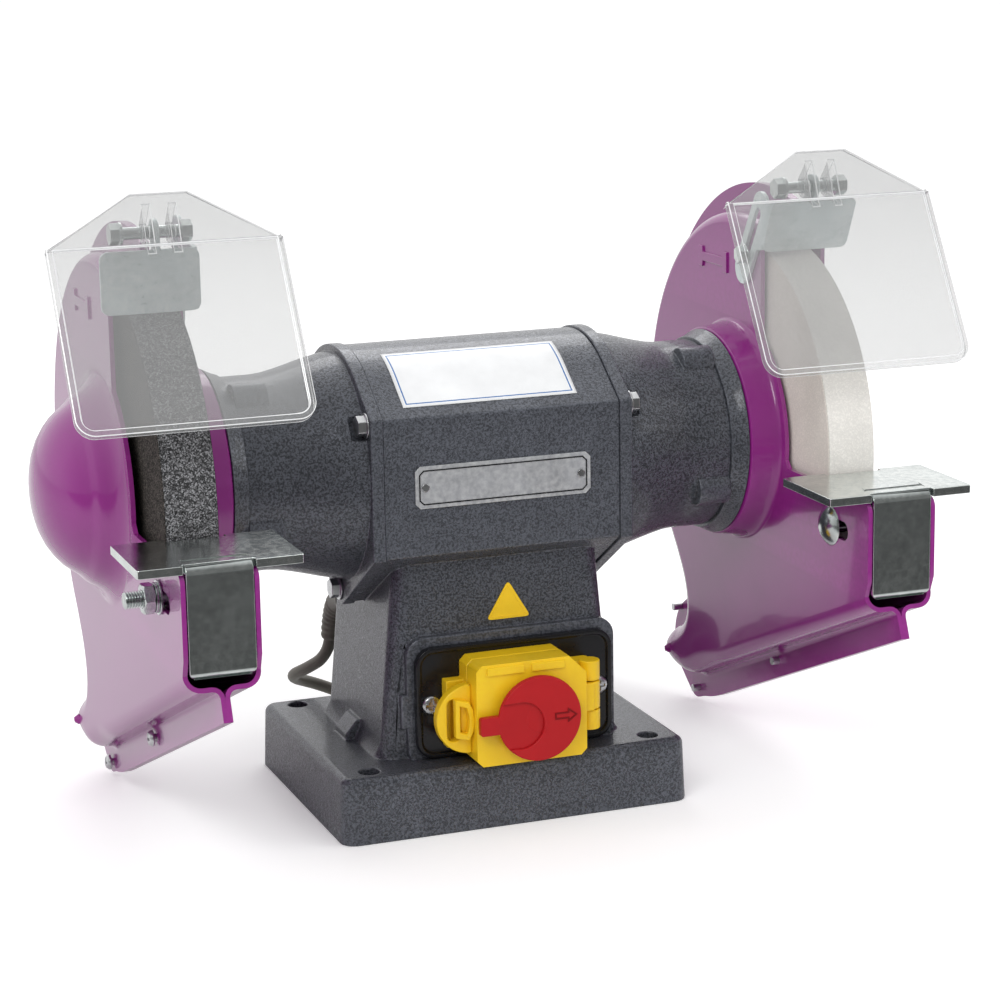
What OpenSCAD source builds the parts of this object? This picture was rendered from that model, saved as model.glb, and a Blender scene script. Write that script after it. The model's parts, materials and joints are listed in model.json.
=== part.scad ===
// Double-wheel bench grinder: cast motor stand, two guarded wheels, tool rests,
// spark deflectors, hinged eye shields, a lidded stop switch and a mains lead.
// X runs along the shaft, Y from front to back, Z up. Origin: centre of the
// base's four bench bolts, on the bench.

/* [Base and pedestal] */
// Width of the cast base
base_w = 182; // [170:1:200]
// Depth of the cast base
base_d = 146; // [138:1:160]
// Height of the cast base
base_h = 33; // [30:1:36]
// Bench bolt holes, left to right
bolt_pitch_x = 147; // [140:1:150]
// Bench bolt holes, front to back
bolt_pitch_y = 121; // [112:1:122]
// Diameter of a bench bolt hole
bolt_hole_d = 10; // [8:0.5:12]
// Half width of the pedestal at its top
pedestal_top_hw = 53; // [48:1:54]
// Half width of the pedestal at its foot
pedestal_foot_hw = 62; // [58:1:66]
// Half depth of the pedestal
pedestal_hd = 48; // [44:1:50]

/* [Motor] */
// Height of the shaft above the bench
axis_z = 172.6; // [172:0.1:174]
// Half length of the motor housing, to the outside of its end flanges
housing_hl = 67.4; // [66:0.1:70]
// Half depth of the motor housing
housing_hd = 56.8; // [55:0.1:58]
// Radius of the housing's arched top
arch_r = 59; // [57:0.5:60]
// Thickness of an end bell's flange
flange_t = 6.4; // [5:0.1:8]
// Half length of the motor to the ends of its bells
bell_end_x = 125.3; // [124:0.1:127]
// Radius of a bell at its outer end
bell_end_r = 48; // [46:0.5:49]

/* [Wheels and guards] */
// Wheel diameter
wheel_d = 200; // [180:1:200]
// Wheel thickness
wheel_t = 25; // [20:1:25]
// Distance from the middle of the machine to a guard's seam
seam_x = 167; // [166.5:0.1:168]
// Outer radius of a guard
guard_r = 112; // [111:0.5:115]
// Half width of a guard
guard_hw = 17.8; // [17:0.1:19]
// Thickness of the guard's sheet
sheet_t = 2.2; // [1.8:0.1:2.6]
// Radius of the seam flange
seam_r = 126; // [122:0.5:130]
// Radius of the round boss on a guard's side
boss_r = 58; // [57:0.5:59]
// How far ahead of the shaft the guard's opening begins
mouth_y = -31.6; // [-36:0.1:-28]
// Slope of the dust chute's floor
chute_slope = 22.4; // [21:0.1:24]

/* [Tool rests] */
// Height of the tool rests' top face
rest_z = 167.7; // [167:0.1:170]
// Width of a tool rest
rest_w = 75.5; // [70:0.5:80]
// Thickness of a tool rest's steel
rest_t = 4; // [3:0.5:4]
// Distance from the shaft to a tool rest's front edge
rest_front = 150.5; // [150:0.5:152]

/* [Eye shields] */
// Width of an eye shield
shield_w = 110; // [90:1:120]
// Length of the shield's main pane
shield_len = 90.5; // [70:0.5:95]
// Tilt of the main pane from upright
shield_tilt = 32; // [28:1:36]
// Thickness of the clear plastic
shield_t = 3; // [2:0.5:4]

/* [Mains lead] */
// Diameter of the mains lead
cord_d = 6.5; // [6:0.1:7]

/* [Hidden] */
$fn = 72;
eps = 0.02;

// ---- Colours
hammer_grey = [0.27, 0.28, 0.31];
guard_purple = [0.52, 0.20, 0.50];
zinc = [0.75, 0.78, 0.78];
steel = [0.62, 0.63, 0.65];
switch_yellow = [0.95, 0.77, 0.10];
stop_red = [0.80, 0.12, 0.13];
black_plastic = [0.08, 0.08, 0.09];
cord_grey = [0.25, 0.25, 0.23];

// ---- Shared helpers
// A cylinder along +X from x, centred on y, z
module rod_x(x, y, z, r, len) {
    translate([x, y, z]) rotate([0, 90, 0]) cylinder(r = r, h = len);
}
// A cylinder along +Y from y, centred on x, z
module rod_y(x, y, z, r, len) {
    translate([x, y, z]) rotate([-90, 0, 0]) cylinder(r = r, h = len);
}
// Turns a profile of [radius, height] about +X, from the plane x
module turned_x(x) {
    translate([x, 0, 0]) rotate([0, 90, 0]) rotate_extrude() children();
}
// Extrudes a 2D shape drawn in [y, z] along +X, from x
module plate_x(x, len) {
    translate([x, 0, 0]) rotate([90, 0, 90]) linear_extrude(height = len) children();
}
// A square with round corners, between two corners
module round_rect(a, b, r) {
    translate([a[0] + r, a[1]]) square([b[0] - a[0] - 2 * r, b[1] - a[1]]);
    translate([a[0], a[1] + r]) square([b[0] - a[0], b[1] - a[1] - 2 * r]);
    for (x = [a[0] + r, b[0] - r], y = [a[1] + r, b[1] - r]) translate([x, y]) circle(r);
}
// A slot between two centres
module slot_2d(a, b, r) {
    len = norm(b - a);
    translate(a) rotate(atan2(b[1] - a[1], b[0] - a[0])) {
        translate([0, -r]) square([len, 2 * r]);
        circle(r);
        translate([len, 0]) circle(r);
    }
}
// A hexagon across flats, for nuts and bolt heads
module hexagon(flats) circle(r = flats / sqrt(3), $fn = 6);
// The same piece on the right (side = 1) or mirrored to the left (side = -1)
module on_side(side) {
    if (side > 0) children();
    else mirror([1, 0, 0]) children();
}

// ---- Base, pedestal and motor stand
base_corner_r = 8;
base_arris_r = 4;
base_draft = 1.2;
base_wall = 6;
cover_recess = 3;
pedestal_corner_r = 9;
pedestal_top_z = axis_z - 40;
pedestal_wall = 5;
body_flat_bottom = 36.4;
body_vee_z = 69.5;
body_vee_hw = 4;
bore_r = 50;
cradle_hl = housing_hl - flange_t;

module base_corner_post() {
    rotate_extrude($fn = 32) {
        polygon([[0, 0], [base_corner_r, 0], [base_corner_r - base_draft, base_h - base_arris_r],
            [0, base_h - base_arris_r]]);
        intersection() {
            translate([base_corner_r - base_draft - base_arris_r, base_h - base_arris_r])
                circle(base_arris_r, $fn = 32);
            square([base_corner_r, base_h]);
        }
        square([base_corner_r - base_draft - base_arris_r, base_h]);
    }
}

module base_block() {
    hull() {
        for (sx = [-1, 1], sy = [-1, 1])
            translate([sx * (base_w / 2 - base_corner_r), sy * (base_d / 2 - base_corner_r), 0])
                base_corner_post();
    }
}

module pedestal_column(foot_hw, top_hw, hd, r, z0, z1) {
    hull() {
        for (sx = [-1, 1], sy = [-1, 1]) {
            translate([sx * (foot_hw - r), sy * (hd + 1 - r), z0]) cylinder(r = r, h = 1, $fn = 32);
            translate([sx * (top_hw - r), sy * (hd - r), z1 - 1]) cylinder(r = r, h = 1, $fn = 32);
        }
    }
}

// Section of the motor housing in [y, z] about the shaft; grow makes it larger
arch_end = 36;
module housing_section(grow = 0) {
    hd = housing_hd + grow;
    r = arch_r + grow;
    touch = [r * sin(arch_end), r * cos(arch_end)];
    shoulder = touch[1] - (hd - touch[0]) * tan(arch_end);
    arch = [for (a = [-arch_end:3:arch_end]) [r * sin(a), r * cos(a)]];
    polygon(concat(arch, [[hd, shoulder], [hd, -body_flat_bottom - grow / 2], [body_vee_hw, -body_vee_z - grow],
        [-body_vee_hw, -body_vee_z - grow], [-hd, -body_flat_bottom - grow / 2], [-hd, shoulder]]));
}

// Raised frame round the switch on the pedestal's front
switch_cx = 4.6;
frame_y = -52;
switch_z0 = 33.6;
switch_z1 = 89.6;
switch_hw = 51.4;
switch_r = 9;
switch_cut = [56, 40];
module switch_frame() {
    translate([0, frame_y + 22, 0]) rotate([90, 0, 0]) linear_extrude(height = 22)
        round_rect([switch_cx - switch_hw - 3.5, base_h - 4], [switch_cx + switch_hw + 3, switch_z1 + 4.5], switch_r);
    translate([switch_cx - switch_hw - 6.5, frame_y, 49]) cube([8, 14, 17]);
}

module foot_lugs() {
    for (sx = [-1, 1]) hull() {
        translate([sx * (pedestal_foot_hw - 4) - 5, -9, base_h - 2]) cube([10, 18, 12]);
        translate([sx * (pedestal_foot_hw + 4) - 3, -9, base_h - 2]) cube([6, 18, 5]);
    }
}

module bench_holes() {
    for (sx = [-1, 1], sy = [-1, 1])
        translate([sx * bolt_pitch_x / 2, sy * bolt_pitch_y / 2, -1])
            cylinder(r = bolt_hole_d / 2, h = base_h + 2);
}

// Opening between the pedestal and the motor, for the wires
module rod_z_wire() {
    translate([20, 0, pedestal_top_z - 20]) cylinder(r = 8, h = 20);
}
module base_cavity() {
    difference() {
        translate([0, 0, -1]) linear_extrude(height = base_h - base_wall + 1)
            round_rect([-base_w / 2 + base_wall + 1, -base_d / 2 + base_wall + 1],
                [base_w / 2 - base_wall - 1, base_d / 2 - base_wall - 1], 4);
        // Solid corners for the bench bolts, and a rib round the pedestal's inside
        for (sx = [-1, 1], sy = [-1, 1])
            translate([sx * (bolt_pitch_x / 2 + 6), sy * (bolt_pitch_y / 2 + 6), base_h / 2])
                cube([32, 32, base_h + 4], center = true);
        translate([0, 0, -2]) linear_extrude(height = base_h) round_rect([-68, -51], [68, 51], 8);
    }
}

module main_casting() {
    color(hammer_grey) difference() {
        union() {
            base_block();
            pedestal_column(pedestal_foot_hw, pedestal_top_hw, pedestal_hd, pedestal_corner_r,
                base_h - 3, pedestal_top_z);
            pedestal_column(pedestal_foot_hw + 3, pedestal_foot_hw - 1.2, pedestal_hd + 0.4,
                pedestal_corner_r + 1, base_h - 2, base_h + 8);
            foot_lugs();
            switch_frame();
            translate([0, 0, axis_z]) plate_x(-cradle_hl, 2 * cradle_hl) housing_section();
        }
        base_cavity();
        // Inside of the pedestal, open underneath
        translate([0, 0, -1]) linear_extrude(height = base_h - 1) round_rect([-56, -40.5], [56, 40.5], 5);
        translate([0, 0, -1]) linear_extrude(height = 3.5) round_rect([-63.8, -46.8], [63.8, 46.8], 6);
        rod_z_wire();
        bench_holes();
        pedestal_column(pedestal_foot_hw - pedestal_wall, pedestal_top_hw - pedestal_wall,
            pedestal_hd - pedestal_wall, 5, base_h - base_wall - 1, pedestal_top_z - 14);
        rod_x(-cradle_hl - 1, 0, axis_z, bore_r, 2 * cradle_hl + 2);
        translate([switch_cx - switch_cut[0] / 2 - 3, frame_y - 1, 42]) cube([switch_cut[0], 30, switch_cut[1]]);
        for (sx = [-1, 1]) rod_y(switch_cx + sx * 44, frame_y - 1, 61, 2, 10);
        rod_y(cord_exit[0], pedestal_hd - pedestal_wall - 4, cord_exit[2], 6, 14);
        for (sx = [-1, 1], p = bell_bolt_at) rod_x(sx > 0 ? cradle_hl - 14 : -cradle_hl - 1, p[0], axis_z + p[1], 2.5, 15);
        for (p = cover_screw_at) translate([p[0], p[1], -1]) cylinder(r = 1.6, h = 14);
        for (x = rivet_at) rod_y(x, -housing_hd - 1, plate_z[0] + 10.4, 1.2, 6);
    }
}

// ---- Underside cover
cover_screw_at = [[-59.2, -42.4], [59.2, -42.4], [-59.2, 42.4], [59.2, 42.4]];
module bottom_cover() {
    color(zinc) difference() {
        translate([0, 0, 1]) linear_extrude(height = 1.5) round_rect([-63.5, -46.5], [63.5, 46.5], 5.5);
        for (p = cover_screw_at) translate([p[0], p[1], 0]) cylinder(r = 2.2, h = 4);
    }
}
module bottom_cover_screws() {
    color(steel) for (p = cover_screw_at) translate([p[0], p[1], 0]) difference() {
        union() {
            cylinder(r = 3.6, h = 1);
            cylinder(r = 1.5, h = 11);
        }
        translate([-3, -0.4, -0.1]) cube([6, 0.8, 0.7]);
    }
}

// ---- End bells, at the motor's ends
bell_bolt_at = [[-51, 29], [51, 29], [0, -62.5]];
bell_pocket_len = 7;
bell_screw_angles = [27, 117, 207, 297];
bell_boss_r = 45;
bell_screw_r = 41;
seat_x = 104;
bearing_w = 12;

module bell_right() {
    difference() {
        union() {
            translate([0, 0, axis_z]) plate_x(cradle_hl, flange_t) housing_section(1);
            translate([0, 0, axis_z]) turned_x(0)
                polygon([[0, cradle_hl + 1], [56.5, cradle_hl + 1], [56.5, housing_hl + 1], [55.8, 72], [54, 80], [51.8, 88],
                    [50, 95], [48.5, 102], [bell_end_r, 108], [bell_end_r, bell_end_x], [0, bell_end_x]]);
            for (a = bell_screw_angles) rod_x(bell_end_x - 17, bell_boss_r * cos(a),
                axis_z + bell_boss_r * sin(a), 8.5, 17);
        }
        translate([0, 0, axis_z]) turned_x(0) polygon([[0, cradle_hl - 1], [bore_r, cradle_hl - 1],
            [bore_r, 74], [46, 92], [43, 101], [25, 101], [25, seat_x], [20, seat_x], [20, seat_x + bearing_w],
            [10.5, seat_x + bearing_w], [10.5, bell_end_x + 1], [0, bell_end_x + 1]]);
        for (p = bell_bolt_at) {
            rod_x(cradle_hl - 1, p[0], axis_z + p[1], 2.8, flange_t + 2);
            rod_x(housing_hl, p[0], axis_z + p[1], 7, bell_pocket_len);
        }
        for (a = bell_screw_angles) rod_x(bell_end_x - 14, bell_screw_r * cos(a),
            axis_z + bell_screw_r * sin(a), 2, 15);
    }
}
module end_bell_left() {
    color(hammer_grey) on_side(-1) bell_right();
}
module end_bell_right() {
    color(hammer_grey) on_side(1) bell_right();
}

module bell_bolts() {
    color(steel) for (side = [-1, 1], p = bell_bolt_at) on_side(side) {
        rod_x(cradle_hl - 12, p[0], axis_z + p[1], 2.4, 19);
        translate([housing_hl, p[0], axis_z + p[1]]) rotate([0, 90, 0]) cylinder(r = 6.2, h = 1);
        translate([housing_hl + 0.9, p[0], axis_z + p[1]]) rotate([0, 90, 0])
            linear_extrude(height = 4.2) hexagon(9);
    }
}

// ---- Motor's inner parts
module stator() {
    color(steel) difference() {
        rod_x(-35, 0, axis_z, bore_r, 70);
        rod_x(-36, 0, axis_z, 30, 72);
    }
}
module windings() {
    color([0.72, 0.42, 0.20]) for (side = [-1, 1]) on_side(side) difference() {
        rod_x(35, 0, axis_z, 46, 18);
        rod_x(34, 0, axis_z, 32, 20);
    }
}
module bearing_outer_rings() {
    color(steel) for (side = [-1, 1]) on_side(side) translate([0, 0, axis_z]) turned_x(seat_x)
        difference() {
            translate([16.4, 0]) square([3.6, bearing_w]);
            translate([14.25, bearing_w / 2]) circle(3.35);
        }
}
module bearing_inner_rings() {
    color(steel) for (side = [-1, 1]) on_side(side) {
        translate([0, 0, axis_z]) turned_x(seat_x) translate([8.5, 0]) square([3.7, bearing_w]);
        for (i = [0:7]) translate([seat_x + bearing_w / 2, 14.25 * cos(i * 45), axis_z + 14.25 * sin(i * 45)])
            sphere(3, $fn = 32);
    }
}
module run_capacitor() {
    color([0.80, 0.80, 0.78]) {
        rod_x(-32, 12, 92, 17, 56);
        rod_x(-38, 12, 92, 12, 7);
    }
}
module capacitor_clamp() {
    color(zinc) difference() {
        union() {
            rod_x(-12, 12, 92, 18.6, 14);
            translate([-12, 12, 73.6]) cube([14, pedestal_hd - pedestal_wall - 12, 2.4]);
            translate([-12, pedestal_hd - pedestal_wall - 2.4, 60]) cube([14, 2.4, 16]);
        }
        rod_x(-13, 12, 92, 17.04, 16);
    }
}
module terminal_block() {
    color([0.85, 0.85, 0.80]) difference() {
        translate([-26, pedestal_hd - pedestal_wall - 14, 38]) cube([52, 14, 16]);
        for (i = [0:3]) rod_y(-19.5 + i * 13, pedestal_hd - pedestal_wall - 15, 46, 3, 9);
    }
}

// ---- Plate above the switch, left plain
plate_z = [159.8, 180.6];
rivet_at = [-40.4, 40];
module name_plate() {
    color([0.72, 0.73, 0.74]) difference() {
        translate([0, -housing_hd - 0.02, 0]) rotate([90, 0, 0]) linear_extrude(height = 0.8) difference() {
            polygon([[-43, plate_z[0]], [42.5, plate_z[0]], [45, plate_z[0] + 2.5], [45, plate_z[1] - 2.5],
                [42.5, plate_z[1]], [-43, plate_z[1]], [-45.5, plate_z[1] - 2.5], [-45.5, plate_z[0] + 2.5]]);
            for (x = rivet_at) translate([x, plate_z[0] + 10.4]) circle(1.2);
        }
    }
}
module name_plate_rivets() {
    color(steel) for (x = rivet_at) {
        rod_y(x, -housing_hd - 1.45, plate_z[0] + 10.4, 2, 0.6);
        rod_y(x, -housing_hd - 1, plate_z[0] + 10.4, 1.1, 5);
    }
}

// ---- Switch: plate, housing, buttons, hinged lid and stop pad
plate_front = -55;
housing_box = [[-24.5, 34], [32.8, 85]];
housing_front = -66;
lid_front = -80;
button_at = [[5.6, 57.5], [5.6, 74]];
hinge_at = [38.4, -69.5];
stop_travel = 3;
lid_gap = 0.4;
latch_y = -67;

module switch_plate() {
    color(black_plastic) difference() {
        translate([0, frame_y, 0]) rotate([90, 0, 0]) linear_extrude(height = frame_y - plate_front)
            round_rect([switch_cx - switch_hw, switch_z0], [switch_cx + switch_hw, switch_z1], switch_r);
        for (sx = [-1, 1]) rod_y(switch_cx + sx * 44, plate_front - 1, 61, 2.6, 6);
        translate([switch_cx - 26, plate_front - 1, 45]) cube([50, 8, 36]);
    }
}
module switch_screws() {
    color(steel) for (sx = [-1, 1]) difference() {
        union() {
            rod_y(switch_cx + sx * 44, plate_front, 61, 1.9, 10);
            translate([switch_cx + sx * 44, plate_front, 61]) rotate([90, 0, 0]) rotate_extrude()
                polygon([[0, 0], [4.9, 0], [4.9, 1.2], [4.2, 2.3], [2.6, 3], [0, 3.1]]);
        }
        translate([switch_cx + sx * 44 - 3, plate_front - 4, 60.3]) cube([6, 2, 1.4]);
        translate([switch_cx + sx * 44 - 0.7, plate_front - 4, 58]) cube([1.4, 2, 6]);
    }
}
module switch_module() {
    color([0.16, 0.16, 0.17]) {
        translate([switch_cx - 25, frame_y, 46]) cube([48, 28, 34]);
        for (i = [0:3]) translate([switch_cx - 18 + i * 11, frame_y + 28, 60]) cube([6, 6, 1]);
    }
}
// Outline of the switch box, with its chamfered corners, inset by t
module box_outline(t = 0) {
    a = housing_box[0] + [t, t];
    b = housing_box[1] - [t, t];
    cut = t * (1 - tan(22.5));
    small = 3 - t + cut;
    large = 9 - t + cut;
    polygon([[a[0] + small, a[1]], [b[0] - small, a[1]], [b[0], a[1] + small], [b[0], b[1] - large],
        [b[0] - large, b[1]], [a[0] + small, b[1]], [a[0], b[1] - small], [a[0], a[1] + small]]);
}
module switch_housing() {
    color(switch_yellow) difference() {
        union() {
            translate([0, plate_front, 0]) rotate([90, 0, 0])
                linear_extrude(height = plate_front - housing_front) box_outline();
            translate([housing_box[1][0] - 1, plate_front - 10, 46]) cube([10, 10, 31]);
            for (z = [46, 69]) {
                translate([hinge_at[0] - 4, hinge_at[1], z]) cube([8, -hinge_at[1] + plate_front - 1, 8]);
                translate([hinge_at[0], hinge_at[1], z]) cylinder(r = 4, h = 8);
            }
            translate([-33.6, plate_front - 7, 40]) cube([10, 7, 34]);
        }
        for (p = button_at) rod_y(p[0], housing_front - 1, p[1], 8.4, 12.5);
        translate([hinge_at[0], hinge_at[1], 40]) cylinder(r = 1.6, h = 50);
        translate([-31.4, plate_front - 8, 44]) cube([4.4, 5, 26]);
    }
}
module button_body(p) {
    difference() {
        rod_y(p[0], housing_front - 3.4, p[1], 8, 10);
        rod_y(p[0], housing_front - 4.4, p[1], 5.4, 2);
    }
    rod_y(p[0], housing_front + 6, p[1], 4, 4.5);
}
module start_button() {
    color([0.10, 0.45, 0.20]) button_body(button_at[1]);
}
module stop_button() {
    color(stop_red) button_body(button_at[0]);
}
module lid_hinge_pin() {
    color(steel) translate([hinge_at[0], hinge_at[1], 45.2]) cylinder(r = 1.5, h = 32.6);
}
module switch_lid() {
    color(switch_yellow) difference() {
        union() {
            translate([0, housing_front - lid_gap, 0]) rotate([90, 0, 0])
                linear_extrude(height = housing_front - lid_gap - lid_front) box_outline();
            // Raised pads on the lid's face
            translate([-19, lid_front - 1.2, 79.8]) cube([19, 2, 3.8]);
            translate([4, lid_front - 1.2, 79.8]) cube([17, 2, 3.8]);
            // Hinge arm and knuckle
            translate([housing_box[1][0] - 2, -76, 54.5]) cube([hinge_at[0] - housing_box[1][0] + 2, 6, 14]);
            translate([hinge_at[0], hinge_at[1], 54.5]) cylinder(r = 3.8, h = 14);
            translate([hinge_at[0] - 5, -76, 54.5]) cube([5, 6.5, 14]);
        }
        // Hollow behind the face, open at the back
        translate([0, housing_front + 1, 0]) rotate([90, 0, 0]) linear_extrude(height = 12.4) box_outline(2.2);
        rod_y(button_at[0][0], lid_front - 2, button_at[0][1], 7.5, 10);
        translate([hinge_at[0], hinge_at[1], 50]) cylinder(r = 1.62, h = 24);
    }
}
// D-shaped latch beside the lid, with the loop for a padlock
module lid_latch() {
    color(switch_yellow) translate([0, latch_y, 0]) rotate([90, 0, 0]) linear_extrude(height = 5.5) difference() {
        union() {
            translate([-29.4, 42]) square([4.87, 30]);
            intersection() {
                translate([-25, 57]) circle(r = 17.4);
                translate([-42.4, 39]) square([17.87, 36]);
            }
        }
        round_rect([-37, 46.5], [-30.2, 67.5], 3);
    }
}
module stop_pad() {
    color(stop_red) difference() {
        union() {
            translate([button_at[0][0], lid_front - 3.4, button_at[0][1]]) rotate([90, 0, 0]) rotate_extrude()
                polygon([[0, 0], [20.6, 0], [21.3, 0.8], [21.3, 2.6], [20.6, 3.6], [19, 4.1], [0, 4.4]]);
            rod_y(button_at[0][0], lid_front - 4, button_at[0][1], 7.1, 9);
            rod_y(button_at[0][0], lid_front + 4.2, button_at[0][1], 4.6, 5.6);
            // Retaining collar inside the lid
            rod_y(button_at[0][0], lid_front + 4.2, button_at[0][1], 9, 1.2);
            // Pull tab reaching the latch
            translate([-22, lid_front - 5.6, 53.5]) cube([9, 2.2, 9]);
        }
        // Thumb recess and embossed arrow
        rod_y(button_at[0][0] - 9, lid_front - 10.4, button_at[0][1] + 2, 8.5, 3.6);
    }
}

// ---- Guards: two pressed shells each, joined at a flange all round
chute_top_z = 163.2;
chute_front_y = -149.5;
chute_back_y = 61;
chute_back_z = 22.8;
flange_front_z = 95.3;
inner_disc_x = bell_end_x;
dome_r = 39;
dome_h = 15.5;
outer_ring_x = 200.5;
chute_wall = sheet_t;
seam_screw_at = [[-22, 51], [78, 8.8], [102, 50], [105, 228.7]];

// Outline of the chute and dust spout in [y, z], inset by t
module chute_outline(t = 0) {
    polygon([[chute_front_y - (t > 0 ? 1 : 0), chute_top_z + (t > 0 ? 1 : 0)],
        [chute_front_y - (t > 0 ? 1 : 0), chute_back_z + (chute_back_y - chute_front_y) * tan(chute_slope) + t],
        [chute_back_y - t / 2, chute_back_z + t], [80 - t / 3, 20.6 + t], [89 - t * 0.8, 23 + t * 0.6],
        [94.6 - t, 28], [96.2 - t, 33], [94 - t, 38.6], [88 - t, 43.2], [79 - t, 48], [72 - t, 53.5],
        [68.6 - t, 60], [69.2 - t, 69], [72.4 - t, 78], [78 - t, 87], [85 - t, 97], [92 - t, 107.8 + t / 4],
        [70, 130], [0, chute_top_z + (t > 0 ? 1 : 0)]]);
}
// The chute's section: a trough with round lower corners, along its slope
module trough(hw, r, drop) {
    translate([seam_x, chute_back_y, chute_back_z + drop]) rotate([-chute_slope, 0, 0])
        translate([0, 60, 0]) rotate([90, 0, 0]) linear_extrude(height = 330)
            round_rect([-hw, 0], [hw, 240], r);
}
module drum(r, hw, bend) {
    translate([0, 0, axis_z]) turned_x(seam_x - hw) round_rect([-bend, 0], [r, 2 * hw], bend);
}
module drum_profile(r, hw, bend) {
    difference() {
        translate([0, 0]) square([r, 2 * hw]);
        for (z = [0, 2 * hw - bend]) translate([r - bend, z]) square([bend + 1, bend]);
    }
    for (z = [bend, 2 * hw - bend]) translate([r - bend, z]) circle(bend);
}
// Boss profile on the motor side and on the open side
module inner_boss(t) {
    polygon([[0, inner_disc_x + t], [48.5 - t, inner_disc_x + t], [50.5 - t, inner_disc_x + 1.4 + t],
        [51.8 - t, 130.5 + t * 0.6], [54 - t, 137], [56.4 - t, 144], [boss_r + 2 - t, 149.4 + t], [0, 149.4 + t]]);
}
module outer_boss(t) {
    difference() {
        translate([0, 184.6 - t]) square([boss_r + 2 - t, outer_ring_x - 184.6]);
        // Hollow curve from the side out to the ring
        translate([boss_r + 2 - t, outer_ring_x + 0.5 - t]) circle(r = 17.4);
    }
    intersection() {
        translate([0, outer_ring_x + dome_h - t - dome_radius]) circle(r = dome_radius);
        translate([0, 184.6 - t]) square([dome_r + 1.8 - t, 40]);
    }
}
dome_radius = (dome_r * dome_r + dome_h * dome_h) / (2 * dome_h);

module guard_volume(t) {
    hw = guard_hw - t;
    chute_hw = hw - (t > 0 ? 0.1 : 0);
    translate([0, 0, axis_z]) turned_x(seam_x - hw) drum_profile(guard_r - t, hw, 5.2 - t);
    intersection() {
        plate_x(seam_x - chute_hw, 2 * chute_hw) chute_outline(t);
        trough(chute_hw, 8 - t, t);
    }
    translate([0, 0, axis_z]) turned_x(0) inner_boss(t);
    translate([0, 0, axis_z]) turned_x(0) outer_boss(t);
}
// Flat flange round the seam
module seam_outline() {
    difference() {
        union() {
            translate([0, axis_z]) circle(seam_r);
            polygon([[chute_front_y, chute_top_z], [chute_front_y, flange_front_z], [79, 0.4], [85, 0.4],
                [88.2, 1.8], [90.4, 7], [97, 11], [106, 22], [107, 40], [112, 45], [112.4, 57], [107, 64],
                [104, 80], [109.1, 109.6], [80, 130], [0, 170]]);
        }
    }
}
module seam_flange() {
    plate_x(seam_x - sheet_t, 2 * sheet_t) seam_outline();
    // Raised round pads at the seam's lower screws
    for (p = [seam_screw_at[0], seam_screw_at[1]]) rod_x(seam_x - sheet_t - 1.2, p[0], p[1], 5.4, 2 * sheet_t + 2.4);
}
// Everything the front opening removes
module mouth() {
    plate_x(100, 130) difference() {
        translate([-180, chute_top_z]) square([180 + mouth_y, 160]);
        translate([0, axis_z]) circle(boss_r + 2.02);
    }
}
module guard_shells() {
    difference() {
        union() {
            guard_volume(0);
            seam_flange();
            translate([seam_x - guard_hw - 1, 7.5, 254]) cube([2 * guard_hw + 2, 34.5, 8]);
        }
        guard_volume(chute_wall);
        // Hollow under the embossed bar on each side
        translate([seam_x - guard_hw + 1, 9.5, 256]) cube([2 * guard_hw - 2, 30.5, 4]);
        mouth();
        // Front mouth of the chute, down to the flange
        translate([seam_x - guard_hw + 9, chute_front_y - 1, 105]) cube([2 * guard_hw - 18, 1, 8]);
        // Shaft hole and the guard's mounting screws
        rod_x(inner_disc_x - 1, 0, axis_z, 20, 6);
        for (a = bell_screw_angles) rod_x(inner_disc_x - 1, bell_screw_r * cos(a),
            axis_z + bell_screw_r * sin(a), 2.7, 6);
        // Slots for the rest's bolt
        plate_x(140, 56) slot_2d([rest_bolt_y - 14, rest_bolt_z], [rest_bolt_y + 4, rest_bolt_z], 4.7);
        // Hole for the deflector's screw
        rod_x(seam_x - guard_hw - 3, deflector_screw_at[0], deflector_screw_at[1], 2.6, 8);
        for (p = seam_screw_at) rod_x(seam_x - 6, p[0], p[1], 2.2, 12);
    }
}
module inner_half() {
    intersection() {
        guard_shells();
        translate([100, -170, -5]) cube([seam_x - 100, 340, 320]);
    }
}
module outer_half() {
    intersection() {
        guard_shells();
        translate([seam_x, -170, -5]) cube([60, 340, 320]);
    }
}
module guard_inner_left() {
    color(guard_purple) on_side(-1) inner_half();
}
module guard_inner_right() {
    color(guard_purple) on_side(1) inner_half();
}
module guard_outer_left() {
    color(guard_purple) on_side(-1) outer_half();
}
module guard_outer_right() {
    color(guard_purple) on_side(1) outer_half();
}

// Pan-head screw along -X: head on the +X side at x, its thread running inwards
module pan_screw(x, y, z, r, head_r, head_h, len) {
    rod_x(x - len, y, z, r, len + 0.5);
    translate([x, y, z]) rotate([0, 90, 0]) difference() {
        rotate_extrude() polygon([[0, 0], [head_r, 0], [head_r, head_h * 0.4], [head_r * 0.75, head_h * 0.85],
            [head_r * 0.4, head_h], [0, head_h]]);
        translate([-head_r * 0.6, -0.5, head_h * 0.5]) cube([head_r * 1.2, 1, head_h]);
        translate([-0.5, -head_r * 0.6, head_h * 0.5]) cube([1, head_r * 1.2, head_h]);
    }
}
module seam_screw_set() {
    for (i = [0:3]) {
        x = seam_x + sheet_t + (i < 2 ? 1.2 : 0);
        pan_screw(x, seam_screw_at[i][0], seam_screw_at[i][1], 2.1, 4, 2.8, 9.5);
    }
}
module guard_seam_screws_left() {
    color(steel) on_side(-1) seam_screw_set();
}
module guard_seam_screws_right() {
    color(steel) on_side(1) seam_screw_set();
}
module guard_mount_screws() {
    color(steel) for (side = [-1, 1], a = bell_screw_angles) on_side(side)
        pan_screw(inner_disc_x + sheet_t, bell_screw_r * cos(a), axis_z + bell_screw_r * sin(a), 2, 4.4, 3, 14);
}

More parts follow.
